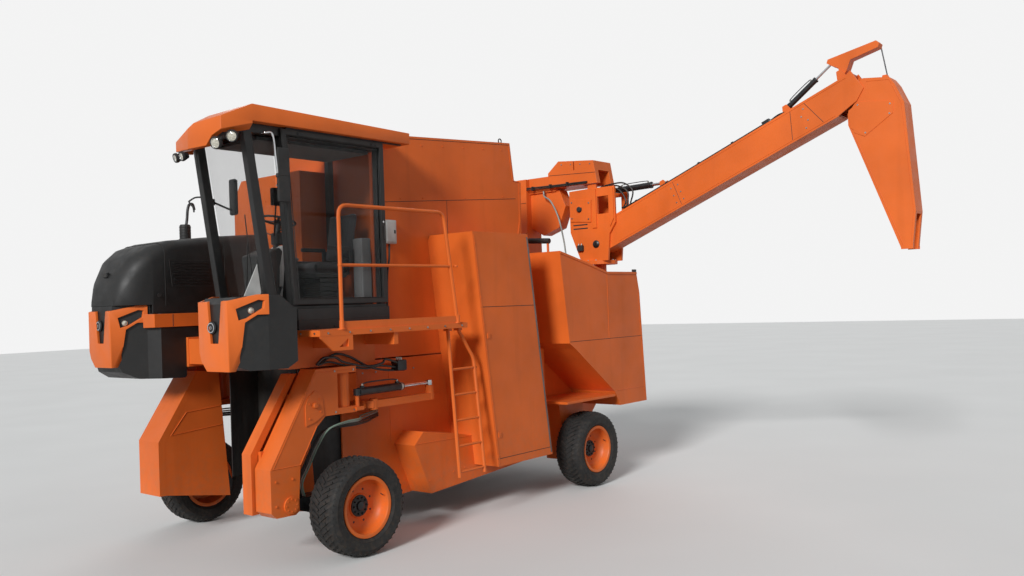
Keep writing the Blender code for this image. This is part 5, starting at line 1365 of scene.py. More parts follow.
    def lamps(self) -> None:
        """The four lamps under the visor."""
        form = Form("visor_lamps", "chassis")
        for x, y, z, r, side in (
            (1.055, -3.345, 4.175, 0.052, 0.30), (1.155, -3.235, 4.240, 0.050, 0.75),
            (0.36, -3.352, 4.118, 0.041, -0.22), (0.53, -3.386, 4.110, 0.041, -0.12)
        ):
            form.turned(
                [(0.0, -0.050), (r * 0.7, -0.040), (r * 1.05, 0.0), (0.0, 0.004)], (x, y + 0.02, z),
                (side, -1.0, -0.30), SOFT_BLACK, 28
            )
            WorkLamp(r).put(form, (x, y + 0.012, z), (side, -1.0, -0.30))
        form.done()

    def mirror(self) -> None:
        """The right mirror on its arm."""
        form = Form("right_mirror", "chassis")
        form.pipe(
            [(0.205, -2.855, 3.716), (0.12, -2.72, 3.70), (0.03, -2.55, 3.675), (0.02, -2.506, 3.671)], 0.011,
            SOFT_BLACK, 3
        )
        form.cube((0.165, -2.90, 3.68), (0.215, -2.83, 3.75), SOFT_BLACK, 0.008)
        form.cube((-0.035, -2.505, 3.61), (0.075, -2.455, 4.01), SOFT_BLACK, 0.020)
        form.slab(
            [(-0.027, 3.62), (0.067, 3.62), (0.067, 4.00), (-0.027, 4.00)], Axis.Y, -2.456, -2.452, MIRROR,
            0.002
        )
        form.done()


# Nose and engine
@dataclass
class NoseTrim:
    """Lamps, seams and the engine hood's fittings."""

    centre: float = -1.11

    def hoop(self, y: float, half: float, top: float, radius: float, foot: float) -> list[Point]:
        """A line over the hood from one foot to the other.

        Args:
            y: where it crosses.
            half: half of the hood's width there.
            top: its top.
            radius: its shoulder's radius.
            foot: the height at which the line ends.

        Returns:
            The points.
        """
        points = [(half, foot)]
        points += [
            (half - radius + radius * math.cos(a), top - radius + radius * math.sin(a))
            for a in (math.radians(15 * i) for i in range(7))
        ]
        points += [(-x, z) for x, z in reversed(points)]
        return [(self.centre + x, y, z) for x, z in points]

    def build(self) -> None:
        """Builds the lamps, the hood's trim and the engine's fittings."""
        self.lamps()
        self.hood()
        self.tray()
        self.engine()

    def lamps(self) -> None:
        """Both nose lamps, and the narrow eye lamps in the bezels' slots."""
        form = Form("nose_lamps", "chassis")
        for x, z, look in ((1.07, 2.40, 0.10), (-1.14, 2.443, -0.05)):
            way = (look, -1.0, 0.0)
            form.turned(
                [(0.0, 0.0), (0.058, 0.0), (0.060, 0.012), (0.052, 0.022), (0.0, 0.020)], (x, -3.446, z), way,
                SOFT_BLACK, 40
            )
            form.turned(
                [(0.040, 0.018), (0.047, 0.018), (0.048, 0.0235), (0.040, 0.0235)], (x, -3.446, z), way,
                CHROME, 40
            )
            form.turned(
                [(0.0, 0.0225), (0.020, 0.0225), (0.036, 0.018), (0.036, 0.006), (0.0, 0.006)],
                (x, -3.446, z), way, DARK_METAL, 40
            )
            form.turned(
                [(0.009, 0.0225), (0.014, 0.0225), (0.014, 0.024), (0.009, 0.024)], (x, -3.446, z), way,
                CHROME, 24
            )
        for centre in ((1.424, -3.262, 2.552), (-0.824, -3.328, 2.466)):
            way = (0.87, -0.49, 0.0)
            form.turned(
                [(0.0, 0.020), (0.014, 0.018), (0.024, 0.008), (0.024, 0.0), (0.0, -0.02)], centre, way, LAMP,
                28
            )
            form.turned(
                [(0.024, -0.02), (0.032, -0.02), (0.032, 0.012), (0.028, 0.016), (0.024, 0.012)], centre, way,
                CHROME, 28
            )
        form.done()

    def hood(self) -> None:
        """Seams, louvred panels and the latch of the engine hood."""
        form = Form("hood_trim", "bonnet")
        form.add(
            pipe([Vector(p) for p in self.hoop(-2.95, 0.484, 3.346, 0.155, 2.64)], 0.0035, 1), SOFT_BLACK
        )
        form.add(pipe([Vector(p) for p in self.hoop(-2.20, 0.491, 3.446, 0.12, 2.60)], 0.0035, 1), SOFT_BLACK)
        for sign in (1, -1):
            x = self.centre + sign * 0.490
            form.seam(
                (x, -2.90, 3.148), (x, -2.37, 3.148), (x, -2.34, 2.855), (x, -2.87, 2.855), (x, -2.90, 3.148),
                width=0.003
            )
            for i in range(8):
                z = 2.885 + i * 0.033
                form.slab(
                    [
                        (-2.84 - i * 0.003, z), (-2.39 - i * 0.003, z), (-2.39 - i * 0.003, z + 0.007),
                        (-2.84 - i * 0.003, z + 0.007)
                    ],
                    Axis.X, *sorted((x, x + sign * 0.006)), HOOD_BLACK, 0.002
                )
            form.cube((x - 0.004, -2.12, 2.70), (x + 0.008, -2.02, 2.735), SOFT_BLACK, 0.004)
            form.bar((x, -3.03, 2.76), (x + sign * 0.010, -3.03, 2.76), 0.022, SOFT_BLACK, 24)
        form.cube((self.centre - 0.05, -3.398, 2.975), (self.centre + 0.05, -3.360, 3.03), SOFT_BLACK, 0.010)
        form.done()
        self.exhaust()

    def exhaust(self, x: float = -1.33) -> None:
        """The intake can and the bent exhaust pipe that stand on the hood."""
        form = Form("hood_exhaust", "bonnet")
        form.turned(
            [
                (0.0, -0.03), (0.085, -0.02), (0.085, 0.005), (0.066, 0.020), (0.066, 0.170), (0.056, 0.190),
                (0.0, 0.195)
            ],
            (x, -2.27, 3.436), (0, 0, 1), SOFT_BLACK, 36
        )
        for i in range(4):
            form.turned(
                [(0.064, -0.006), (0.070, 0.0), (0.064, 0.006)], (x, -2.27, 3.49 + i * 0.034), (0, 0, 1),
                SOFT_BLACK, 36
            )
        form.pipe(
            [
                (x, -2.255, 3.61), (x, -2.240, 3.70), (x, -2.228, 3.81), (x, -2.205, 3.872),
                (x, -2.160, 3.880), (x, -2.138, 3.812)
            ],
            0.017, DARK_METAL, 3
        )
        form.done()

    def tray(self) -> None:
        """The orange stripes below the hood, their seams and corner plates."""
        form = Form("tray_trim", "chassis")
        for x, side in ((-0.62, 1), (-1.60, -1)):
            form.slab(
                [(-3.10, 2.405), (-2.53, 2.405), (-2.53, 2.553), (-3.10, 2.553)], Axis.X,
                *sorted((x, x + side * 0.012)), ORANGE_CLEAN, 0.004
            )
            form.seam((x + side * 0.012, -2.88, 2.41), (x + side * 0.012, -2.88, 2.55), width=0.003)
            corner = [(0.502, -3.09), (0.415, -3.185), (0.37, -3.14), (0.45, -3.04)]
            form.slab(
                [(self.centre + side * u, v) for u, v in corner], Axis.Z, 2.405, 2.553, ORANGE_CLEAN, 0.004
            )
        form.done()

    def engine(self) -> None:
        """Valve cover, pulleys, belt, filters and pipes of the engine under the hood."""
        form = Form("engine_fittings", "chassis")
        form.cube((-1.36, -2.86, 3.05), (-0.98, -1.98, 3.12), CAST, 0.020)
        for i in range(6):
            form.bolt((-1.17, -2.78 + i * 0.15, 3.12), (0, 0, 1), 0.010)
        for x, z, r in ((-1.165, 2.30, 0.110), (-1.165, 2.62, 0.085), (-0.98, 2.80, 0.050)):
            form.turned(
                [
                    (0.0, 0.050), (r * 0.4, 0.050), (r * 0.5, 0.030), (r, 0.040), (r * 0.93, 0.020),
                    (r, 0.002), (0.0, 0.0)
                ],
                (x, -2.952, z), (0, -1, 0), DARK_METAL, 36
            )
        form.pipe(
            [
                (-1.272, -2.975, 2.28), (-1.250, -2.975, 2.62), (-1.165, -2.975, 2.70),
                (-0.96, -2.975, 2.848), (-0.930, -2.975, 2.80), (-1.06, -2.975, 2.26),
                (-1.165, -2.975, 2.195), (-1.272, -2.975, 2.28)
            ],
            0.007, HOSE, 2
        )
        for y in (-2.62, -2.44):
            form.bar((-0.80, y, 2.42), (-0.80, y, 2.66), 0.052, LIGHT_TRIM, 28, edge=0.008)
            form.bar((-0.80, y, 2.66), (-0.80, y, 2.70), 0.040, DARK_METAL, 24)
        form.pipe(
            [(-1.45, -2.70, 2.95), (-1.53, -2.60, 2.97), (-1.53, -2.30, 2.97), (-1.45, -2.10, 2.95)], 0.030,
            CAST, 3
        )
        form.done()


# Legs
@dataclass
class LegTrim:
    """Plates, pins, weld beads and bolts of a front leg."""

    side: Side
    outer: float = 1.225

    def build(self) -> None:
        """Builds the leg's fittings."""
        s, x = self.side.value, self.outer
        form = Form("leg_fittings_" + self.side.word, "front_leg_" + self.side.word)
        plate = [
            (-2.524, 1.56), (-2.49, 1.64), (-2.404, 1.709), (-2.34, 1.68), (-2.302, 1.618), (-2.287, 1.455),
            (-2.40, 1.39), (-2.522, 1.356)
        ]
        form.slab(plate, Axis.X, *self.side.span(x, x + 0.011), ORANGE, 0.003)
        way = (s, 0, 0)
        form.turned(
            [(0.0, 0.026), (0.022, 0.026), (0.030, 0.018), (0.032, 0.0), (0.0, 0.0)],
            self.side.at(1.236, -2.403, 1.560), way, ORANGE, 28
        )
        for y, z in ((-2.475, 1.43), (-2.335, 1.49), (-2.47, 1.58), (-2.345, 1.62)):
            form.bolt(self.side.at(1.236, y, z), way, 0.009, ORANGE)
        form.seam(
            *[self.side.at(x, y, z) for y, z in ((-2.950, 0.985), (-2.600, 0.985), (-2.380, 1.345))],
            finish=ORANGE, width=0.005
        )
        form.seam(
            *[self.side.at(x, y, z) for y, z in ((-2.925, 0.99), (-2.375, 1.89), (-1.86, 1.89))],
            finish=ORANGE, width=0.004
        )
        for y, z in ((-2.90, 0.62), (-2.90, 0.86), (-2.70, 0.86)):
            form.bolt(self.side.at(x, y, z), way, 0.010, ORANGE)
        for u, v in around(8, 0.062):
            form.bolt(self.side.at(1.2425, -2.73 + u, 0.605 + v), way, 0.006, ORANGE)
        for z in (1.462, 1.888):
            for y in (-2.13, -1.88):
                form.bolt(self.side.at(x, y, z), way, 0.008)
        inner = [self.side.at(0.80, y, z) for y, z in ((-2.64, 1.42), (-2.21, 1.45))]
        form.seam(*inner, finish=ORANGE, width=0.005)
        form.seam(
            *[self.side.at(0.80, y, z) for y, z in ((-2.64, 1.42), (-2.84, 1.18), (-2.19, 1.23))],
            finish=ORANGE, width=0.005
        )
        form.done()
        self.hoses()

    def hoses(self) -> None:
        """The motor hoses, laid between the frame and the leg that steers; they ride on no body."""
        for i, (finish, radius) in enumerate(
            ((HOSE, 0.013), (HOSE, 0.013), (PALE_HOSE, 0.009), (GREEN_HOSE, 0.009))
        ):
            shift, rise = 0.030 * i, 0.024 * i
            points = [
                (0.830, -1.20, 1.300 + rise), (0.90, -1.32, 1.296 + rise),
                (1.04, -1.55 - shift, 1.285 + rise), (1.13 + shift, -1.80, 1.285 + rise),
                (1.15 + shift, -2.02, 1.290 + rise * 0.8), (1.10 + shift, -2.20, 1.26 + rise * 0.4),
                (1.06 + shift, -2.31, 1.13), (1.05 + shift, -2.42, 0.94),
                (1.055 + shift, -2.52, 0.78), (1.06 + shift, -2.50, 0.64),
            ]
            form = Form(f"motor_hose_{self.side.word}_{i + 1}", "chassis").pipe(
                [self.side.at(*p) for p in points], radius, finish, 2
            )
            made = form.done(rides=False)
            ends = [
                tuple(Vector(self.side.at(*p)) + ORIGIN) for p in ((1.10, -1.75, 1.28), (1.10, -2.28, 1.20))
            ]
            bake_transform(made)


@dataclass
class SteeringHoses:
    """Hoses, valve and fittings over a front wheel."""

    side: Side

    def build(self) -> None:
        """Builds the hoses on the frame and the fittings on the cylinder."""
        form = Form("steering_hoses_" + self.side.word, "chassis")
        at = self.side.at
        arcs = (
            (
                1.20, 0.013,
                (
                    (-2.341, 1.97), (-2.253, 2.032), (-2.155, 2.034), (-2.078, 2.025), (-1.969, 1.969),
                    (-1.661, 1.905), (-1.442, 1.922), (-1.378, 1.963), (-1.173, 1.90)
                )
            ),
            (
                1.175, 0.011,
                (
                    (-2.30, 1.965), (-2.15, 1.985), (-1.95, 1.935), (-1.66, 1.880), (-1.44, 1.895),
                    (-1.20, 1.86)
                )
            ),
            (
                1.14, 0.013,
                ((-2.25, 1.97), (-2.05, 2.06), (-1.85, 2.02), (-1.60, 1.90), (-1.35, 1.84), (-1.05, 1.82))
            ),
        )
        for x, radius, points in arcs:
            form.pipe([at(x, y, z) for y, z in points], radius, HOSE, 3)
        form.cube(at(1.10, -1.22, 1.82), at(1.22, -1.08, 1.94), DARK_METAL, 0.012)
        for i in range(3):
            form.bar(at(1.125 + i * 0.035, -1.15, 1.94), at(1.125 + i * 0.035, -1.15, 1.970), 0.010, ZINC, 6)
        form.cube(at(0.86, -1.24, 1.86), at(1.12, -1.12, 1.90), ORANGE, 0.004)
        form.done()
        body = Form("steering_cylinder_fittings_" + self.side.word, "steering_barrel_" + self.side.word)
        start, end = Vector(at(1.21, -1.82, 1.64)), Vector(at(1.14, -0.66, 1.64))
        way = (end - start).normalized()
        for along, radius, wide in ((0.035, 0.0475, 0.028), (0.672, 0.0480, 0.030)):
            foot = start + way * along
            body.bar(
                tuple(foot - way * wide / 2), tuple(foot + way * wide / 2), radius,
                ZINC if along > 0.5 else DARK_METAL, 32, edge=0.004
            )
        for along in (0.08, 0.62):
            foot = start + way * along + Vector((0, 0, 0.040))
            body.cube(
                tuple(foot - Vector((0.016, 0.022, 0.004))), tuple(foot + Vector((0.016, 0.022, 0.022))),
                DARK_METAL, 0.004
            )
            body.bar(tuple(foot + Vector((0, 0, 0.02))), tuple(foot + Vector((0, 0, 0.042))), 0.011, ZINC, 6)
        first, last = start + way * 0.08 + Vector((0, 0, 0.078)), start + way * 0.62 + Vector((0, 0, 0.078))
        body.pipe(
            [
                tuple(first), tuple(first.lerp(last, 0.2) + Vector((0, 0, 0.014))),
                tuple(first.lerp(last, 0.8) + Vector((0, 0, 0.014))), tuple(last)
            ],
            0.008, HOSE, 2
        )
        body.done()


# Bodywork
@dataclass
class HousingTrim:
    """Seams, flanges and bolts of a side housing and of the wall below the body."""

    side: Side
    face: float = 1.55
    foot: float = 0.57
    tall: float = 2.83
    strip: tuple[float, float] = (0.012, 0.034)
    strip_ends: tuple[float, float] = (0.60, 3.36)

    def front(self, z: float) -> float:
        """The y of the leaning front edge at a height."""
        return 0.06 - 0.33 * (z - self.foot) / self.tall

    def rear(self, z: float) -> float:
        """The y of the leaning rear edge at a height."""
        return 1.13 - 0.36 * (z - self.foot) / self.tall

    def build(self) -> None:
        """Builds the housing's trim."""
        s, x = self.side.value, self.face
        way = (s, 0, 0)
        form = Form("housing_trim_" + self.side.word, "chassis")
        at = self.side.at
        for z in (0.665, 2.50):
            form.seam(at(x, self.front(z) + 0.004, z), at(x, self.rear(z) - 0.004, z), width=0.0035)
        near, far = self.strip
        low, high = self.strip_ends
        for line, sign, thick, finish in ((self.rear, -1, 0.005, GREY_TRIM), (self.front, 1, 0.004, ORANGE)):
            strip = [
                (line(z) + sign * gap, z) for z, gap in ((low, near), (low, far), (high, far), (high, near))
            ]
            form.slab(strip, Axis.X, *self.side.span(x, x + thick), finish, 0.001)
        for i in range(9):
            z = 0.70 + i * 0.32
            form.bolt(at(x + 0.005, self.rear(z) - 0.023, z), way, 0.006, GREY_TRIM)
            form.bolt(at(x + 0.004, self.front(z) + 0.023, z), way, 0.006, ORANGE)
        for z in (0.95, 2.15):
            y = self.front(z) + 0.06
            form.cube(at(x - 0.002, y, z - 0.03), at(x + 0.010, y + 0.05, z + 0.03), ORANGE, 0.003)
        for i in range(6):
            form.bolt(at(0.822, -1.60 + i * 0.20, 1.80), way, 0.008)
        form.seam(at(0.82, -1.70, 1.46), at(0.82, -0.10, 1.46), finish=ORANGE, width=0.004)
        form.seam(at(0.82, -1.00, 0.96), at(0.82, -1.00, 1.93), finish=ORANGE, width=0.004)
        form.seam(at(0.82, 1.30, 0.40), at(0.82, 1.30, 1.90), width=0.0035)
        form.seam(at(0.82, 2.60, 0.40), at(0.82, 2.60, 1.90), width=0.0035)
        form.seam(at(1.16, -0.93, 0.95), at(1.16, 0.03, 0.93), finish=ORANGE, width=0.005)
        for i in range(4):
            form.bolt(at(1.16, -0.72 + i * 0.20, 0.50 + 0.02 * i), way, 0.007, ORANGE)
        form.done()


@dataclass
class BodyTrim:
    """Seams, flanges, lids and screens of the upper body and of the radiator housing."""

    wall: float = 0.80

    def build(self) -> None:
        """Builds both sides, the top and the radiator screens."""
        for side in Side:
            self.flank(side)
        self.top()
        self.radiator()

    def flank(self, side: Side) -> None:
        """One side's seams, bolts and rear flange steps.

        Args:
            side: which side.
        """
        form = Form("body_seams_" + side.word, "chassis")
        x, way = self.wall, (side.value, 0, 0)
        at = partial(side.at, x)
        form.seam(at(-1.17, 3.76), at(1.47, 3.97), width=0.0035)
        form.seam(at(0.10, 2.30), at(0.10, 3.86), width=0.003)
        form.seam(at(-1.14, 4.53), at(1.36, 4.70), width=0.003)
        form.seam(at(-1.14, 2.31), at(-1.14, 4.53), width=0.003)
        steps = [(1.385, 4.68), (1.445, 4.22), (1.585, 4.205), (1.565, 3.66), (1.52, 3.47), (1.50, 3.42)]
        form.slab(
            [*steps, *[(y - 0.030, z - 0.006) for y, z in reversed(steps)]], Axis.X,
            *side.span(x, x + 0.006), ORANGE, 0.001,
        )
        for i in range(7):
            form.bolt(at(-1.08 + i * 0.38, 4.46 + i * 0.026), way, 0.007, ORANGE)
            form.bolt(at(-1.08 + i * 0.38, 3.80 + i * 0.030), way, 0.006, ORANGE)
        for z in (3.75, 3.90, 4.05):
            form.bolt(at(1.545, z), way, 0.007, ORANGE)
        form.done()

    def top(self) -> None:
        """Two ribbed covers and lifting eyes on the body's roof."""
        form = Form("body_roof_covers", "chassis")
        slope = math.atan2(0.17, 2.57)
        lay = Matrix.Translation((0, -1.18, 4.56)) @ Matrix.Rotation(slope, 4, "X")
        for y in (0.20, 1.40):
            form.add(cube((-0.66, y, 0.0), (0.66, y + 0.98, 0.014), 0.004), ORANGE, lay)
            for i in range(5):
                form.add(
                    cube((-0.60, y + 0.12 + i * 0.18, 0.012), (0.60, y + 0.15 + i * 0.18, 0.022), 0.004),
                    ORANGE, lay
                )
        for x in (-0.74, 0.74):
            for y in (0.10, 2.44):
                ring = [Vector((x, y + u, 0.030 + v)) for u, v in around(24, 0.030)]
                form.add(pipe(ring, 0.008, 3, closed=True), DARK_METAL, lay)
        form.done()

    def radiator(self) -> None:
        """The screen in the radiator housing's side, its frame and the front grille."""
        form = Form("radiator_screens", "chassis")
        form.slab(
            [(-1.555, 2.635), (-1.275, 2.635), (-1.275, 3.745), (-1.555, 3.745)], Axis.X, -1.212, -1.204,
            SCREEN, 0.001
        )
        for i in range(12):
            z = 2.68 + i * 0.092
            form.slab(
                [(-1.55, z), (-1.28, z), (-1.28, z + 0.012), (-1.55, z + 0.012)], Axis.X, -1.222, -1.206,
                BLACK_PAINT, 0.002
            )
        form.seam(
            (-1.22, -1.62, 2.60), (-1.22, -1.21, 2.60), (-1.22, -1.21, 3.78), (-1.22, -1.62, 3.78),
            (-1.22, -1.62, 2.60)
        )
        for z in (2.90, 3.45):
            form.cube((-1.236, -1.605, z), (-1.220, -1.575, z + 0.09), DARK_METAL, 0.004)
        form.bolts((-1.15, -1.652, 3.87), (0.05, -1.652, 3.87), 5, (0, -1, 0), 0.008, ORANGE)
        form.seam((-1.18, -1.65, 3.80), (0.08, -1.65, 3.80), (0.08, -1.65, 2.40), finish=ORANGE, width=0.004)
        form.done()


@dataclass
class HopperTrim:
    """Rim flanges, folds, seams, rear lamps and the drain gate of the hopper."""

    wall: float = 1.58

    def build(self) -> None:
        """Builds the hopper's trim."""
        form = Form("hopper_trim", "chassis")
        rim = [(1.405, 3.198), (2.00, 3.058), (2.50, 2.928), (3.26, 2.928)]
        for side in Side:
            s, x = side.value, self.wall
            band = [*rim, *[(y + 0.004, z - 0.032) for y, z in reversed(rim)]]
            form.slab(band, Axis.X, *side.span(x, x + 0.010), ORANGE, 0.002)
            at = partial(side.at, x)
            form.seam(at(1.56, 1.99), at(3.355, 1.99), width=0.003)
            form.seam(at(3.30, 2.62), at(3.385, 1.06), finish=ORANGE, width=0.005)
            form.seam(at(2.60, 1.245), at(3.39, 1.245), finish=ORANGE, width=0.005)
            form.seam(at(2.49, 2.90), at(2.49, 2.00), finish=ORANGE, width=0.005)
            for i in range(6):
                form.bolt(at(3.355 - i * 0.012, 1.20 + i * 0.25), (s, 0, 0), 0.007, ORANGE)
            form.cube(side.at(x - 0.01, 3.15, 2.925), side.at(x + 0.014, 3.25, 2.965), SOFT_BLACK, 0.008)
        for side in Side:
            for z, radius in ((1.62, 0.045), (1.50, 0.045), (1.38, 0.036)):
                y = 3.415 - 0.09 * (z - 1.03) / 1.59
                form.turned(
                    [(0.0, 0.020), (radius * 0.7, 0.018), (radius, 0.010), (radius, 0.0), (0.0, 0.0)],
                    (side.value * 1.38, y, z), (0, 1, 0), LAMP, 28
                )
                form.turned(
                    [(radius, 0.0), (radius * 1.18, 0.0), (radius * 1.16, 0.014), (radius, 0.016)],
                    (side.value * 1.38, y, z), (0, 1, 0), SOFT_BLACK, 28
                )
        for x, foot in ((-1.08, 1.20), (-0.36, 2.12), (0.36, 2.12), (1.08, 1.20)):
            y = 3.33 + 0.09 * (2.62 - foot) / 1.59
            form.slab(
                [(3.325, 2.55), (3.350, 2.55), (y + 0.014, foot), (y - 0.01, foot)], Axis.X, x - 0.035,
                x + 0.035, ORANGE, 0.004
            )
        form.seam((-1.55, 3.334, 2.58), (1.55, 3.334, 2.58), width=0.0035)
        for x in (-1.55, 0.90):
            form.seam((x, 3.414, 1.12), (x + 0.65, 3.414, 1.12), width=0.0035)
        form.done()


@dataclass
class PlatformTrim:
    """Step plates, rail sleeves and bolts of the walkway and of the ladder."""

    def build(self) -> None:
        """Builds the walkway's trim."""
        form = Form("walkway_trim", "chassis")
        form.cube((1.19, -2.585, 2.330), (1.555, -0.475, 2.334), STEP_PLATE, 0.001)
        for y in (-2.30, -0.60):
            form.bar((1.575, y, 2.334), (1.575, y, 2.42), 0.026, ORANGE, 20, edge=0.004)
            form.bar((1.575, y, 2.330), (1.575, y, 2.340), 0.042, ORANGE, 20)
            form.turned(
                [(0.021, -0.012), (0.0265, 0.0), (0.021, 0.012)], (1.575, y, 2.98), (0, 0, 1), ORANGE, 20
            )
        form.bolts((1.602, -2.50, 2.30), (1.602, -0.56, 2.30), 8, (1, 0, 0), 0.008)
        form.bolts((1.30, -2.602, 2.30), (1.52, -2.602, 2.30), 2, (0, -1, 0), 0.008)
        form.done()


# Discharge
BOOM_ROOT = (1.12, 3.20)
BOOM_ANGLE = math.radians(22.2)


def on_boom(along: float, up: float, y: float = 3.12) -> Point:
    """A point on the boom, by its distance along the lower edge and its height over that edge."""
    cos, sin = math.cos(BOOM_ANGLE), math.sin(BOOM_ANGLE)
    return (BOOM_ROOT[0] + along * cos - up * sin, y, BOOM_ROOT[1] + along * sin + up * cos)


@dataclass
class DischargeTrim:
    """Fittings of the elevator head, the turret, the boom and the spout."""

    def build(self) -> None:
        """Builds the discharge arm's trim."""
        self.head()
        self.turret()
        self.boom()
        self.spout()
        self.cylinders()
        self.hoses()

    def head(self) -> None:
        """Motor, bearing plates, seams, cable bundle and a hose on the elevator's head."""
        form = Form("elevator_head_fittings", "chassis")
        form.pipe(
            [
                (0.20, 2.90, 4.225), (0.225, 2.875, 4.155), (0.36, 2.86, 4.06), (0.50, 2.85, 3.80),
                (0.585, 2.85, 3.45), (0.63, 2.86, 3.16), (0.74, 2.92, 2.995), (0.88, 3.02, 2.975),
                (0.975, 3.08, 2.975)
            ],
            0.012, PALE_HOSE, 3
        )
        form.bar((0.198, 2.902, 4.235), (0.215, 2.885, 4.185), 0.018, ZINC, 6)
        form.bar((0.93, 3.055, 2.975), (0.985, 3.088, 2.975), 0.020, SOFT_BLACK, 16)
        form.pipe(
            [(-0.152, 2.86, 4.310), (0.40, 2.875, 4.300), (0.80, 2.870, 4.296), (1.034, 2.87, 4.292)], 0.012,
            HOSE, 3
        )
        form.pipe(
            [(-0.152, 2.85, 4.284), (0.40, 2.865, 4.278), (0.80, 2.862, 4.274), (1.034, 2.86, 4.272)], 0.009,
            HOSE, 3
        )
        for x in (0.0, 0.34, 0.66):
            form.cube((x, 2.845, 4.262), (x + 0.03, 2.895, 4.325), DARK_METAL, 0.003)
        form.bar((-0.325, 2.838, 4.30), (-0.325, 2.74, 4.30), 0.085, DARK_METAL, 36, edge=0.008)
        form.bar((-0.325, 2.74, 4.30), (-0.325, 2.68, 4.30), 0.060, CAST, 32, edge=0.008)
        for u, v in around(6, 0.105):
            form.bolt((-0.325 + u, 2.838, 4.30 + v), (0, -1, 0), 0.008)
        form.seam((-0.54, 2.838, 3.60), (-0.11, 2.838, 3.60))
        form.seam((-0.54, 2.838, 4.08), (-0.11, 2.838, 4.08))
        form.seam((0.32, 2.888, 4.46), (1.17, 2.888, 4.42))
        form.bolts((0.56, 2.888, 4.60), (1.08, 2.888, 4.555), 4, (0, -1, 0), 0.008)
        form.bar((0.352, 2.30, 3.444), (0.73, 2.30, 3.417), 0.040, SOFT_BLACK, 28, edge=0.006)
        form.bar((0.34, 2.30, 3.445), (0.30, 2.30, 3.448), 0.030, ZINC, 20)
        form.bar((0.30, 2.30, 3.30), (0.30, 2.30, 3.46), 0.018, ORANGE, 14)
        form.bar((0.70, 2.30, 3.24), (0.70, 2.30, 3.40), 0.018, ORANGE, 14)
        form.done()

    def turret(self) -> None:
        """Cheek plates with their boss, posts and bolts."""
        form = Form("turret_fittings", "turret")
        for y, sign in ((2.925, -1), (3.315, 1)):
            low, high = sorted((y, y + sign * 0.016))
            form.slab(
                [(0.675, 4.06), (1.064, 4.025), (1.049, 3.693), (0.675, 3.724)], Axis.Y, low, high, ORANGE,
                0.003
            )
            centre, way = (0.85, y + sign * 0.016, 3.895), (0, sign, 0)
            form.turned(
                [(0.0, 0.030), (0.028, 0.030), (0.040, 0.020), (0.046, 0.0), (0.0, 0.0)], centre, way,
                SOFT_BLACK, 28
            )
            for x, z in ((0.71, 4.01), (1.02, 3.98), (1.01, 3.74), (0.71, 3.77)):
                form.bolt((x, y + sign * 0.016, z), way, 0.010)
            for z in (3.655, 3.600):
                form.slab(
                    [(0.72, z), (0.98, z), (0.98, z + 0.018), (0.72, z + 0.018)], Axis.Y,
                    *sorted((y, y + sign * 0.003)), SOFT_BLACK, 0.001
                )
            form.slab(
                [(1.075, 3.60), (1.150, 3.60), (1.150, 4.18), (1.075, 4.18)], Axis.Y,
                *sorted((y, y + sign * 0.020)), ORANGE, 0.004
            )
            form.slab(
                [(1.385, 3.60), (1.455, 3.72), (1.455, 4.17), (1.385, 4.17)], Axis.Y,
                *sorted((y, y + sign * 0.020)), ORANGE, 0.004
            )
            form.turned(
                [(0.0, 0.024), (0.040, 0.022), (0.056, 0.010), (0.058, 0.0), (0.0, 0.0)], (1.12, y, 3.36),
                way, DARK_METAL, 28
            )
        form.cube((0.80, 2.875, 3.27), (0.90, 2.926, 3.36), SOFT_BLACK, 0.012)
        for x in (0.825, 0.875):
            form.bar((x, 2.895, 3.36), (x, 2.895, 3.385), 0.010, ZINC, 6)
        for u, v in around(10, 0.225):
            form.bolt((1.05 + u, 3.12 + v, 3.121), (0, 0, 1), 0.010)
        form.done()

    def boom(self) -> None:
        """Seams, flange bolts, clips and the hoses that run along the boom's top."""
        form = Form("boom_fittings", "boom")
        for y, sign in ((2.965, -1), (3.275, 1)):
            way = (0, sign, 0)
            form.seam(on_boom(0.42, 0.028, y), on_boom(3.90, 0.028, y), finish=ORANGE, width=0.005)
            form.seam(on_boom(0.42, 0.382, y), on_boom(4.20, 0.382, y), finish=ORANGE, width=0.005)
            form.seam(on_boom(1.55, 0.03, y), on_boom(1.55, 0.38, y), width=0.003)
            form.seam(on_boom(3.30, 0.03, y), on_boom(3.42, 0.38, y), width=0.0035)
            form.seam(on_boom(3.74, 0.03, y), on_boom(3.62, 0.38, y), width=0.0035)
            for i in range(4):
                form.bolt(on_boom(3.52 + 0.06 * (i % 2), 0.08 + i * 0.08, y), way, 0.008)
            for along in (1.49, 1.61):
                for up in (0.09, 0.20, 0.31):
                    form.bolt(on_boom(along, up, y), way, 0.008)
        for i in range(3):
            y = 3.005 + i * 0.028
            points = [
                on_boom(0.64, 0.455, y), on_boom(0.80, 0.432, y), on_boom(1.2, 0.426, y),
                on_boom(2.2, 0.425, y), on_boom(3.02, 0.426, y)
            ]
            form.pipe(points, 0.0135, HOSE, 2)
        for along in (0.90, 1.45, 2.00, 2.55, 3.10):
            a, b = Vector(on_boom(along - 0.018, 0.412, 2.985)), Vector(on_boom(along + 0.018, 0.412, 3.081))
            clip = cube((-0.018, -0.048, 0.0), (0.018, 0.048, 0.032), 0.004)
            form.add(clip, DARK_METAL, Matrix.Translation((a + b) / 2) @ Matrix.Rotation(-BOOM_ANGLE, 4, "Y"))
        turn = Matrix.Rotation(-BOOM_ANGLE, 4, "Y")
        form.add(
            cube((0.0, -0.055, -0.004), (0.11, 0.055, 0.050), 0.006), DARK_METAL,
            Matrix.Translation(on_boom(3.02, 0.41, 3.033)) @ turn
        )
        for y in (3.015, 3.055):
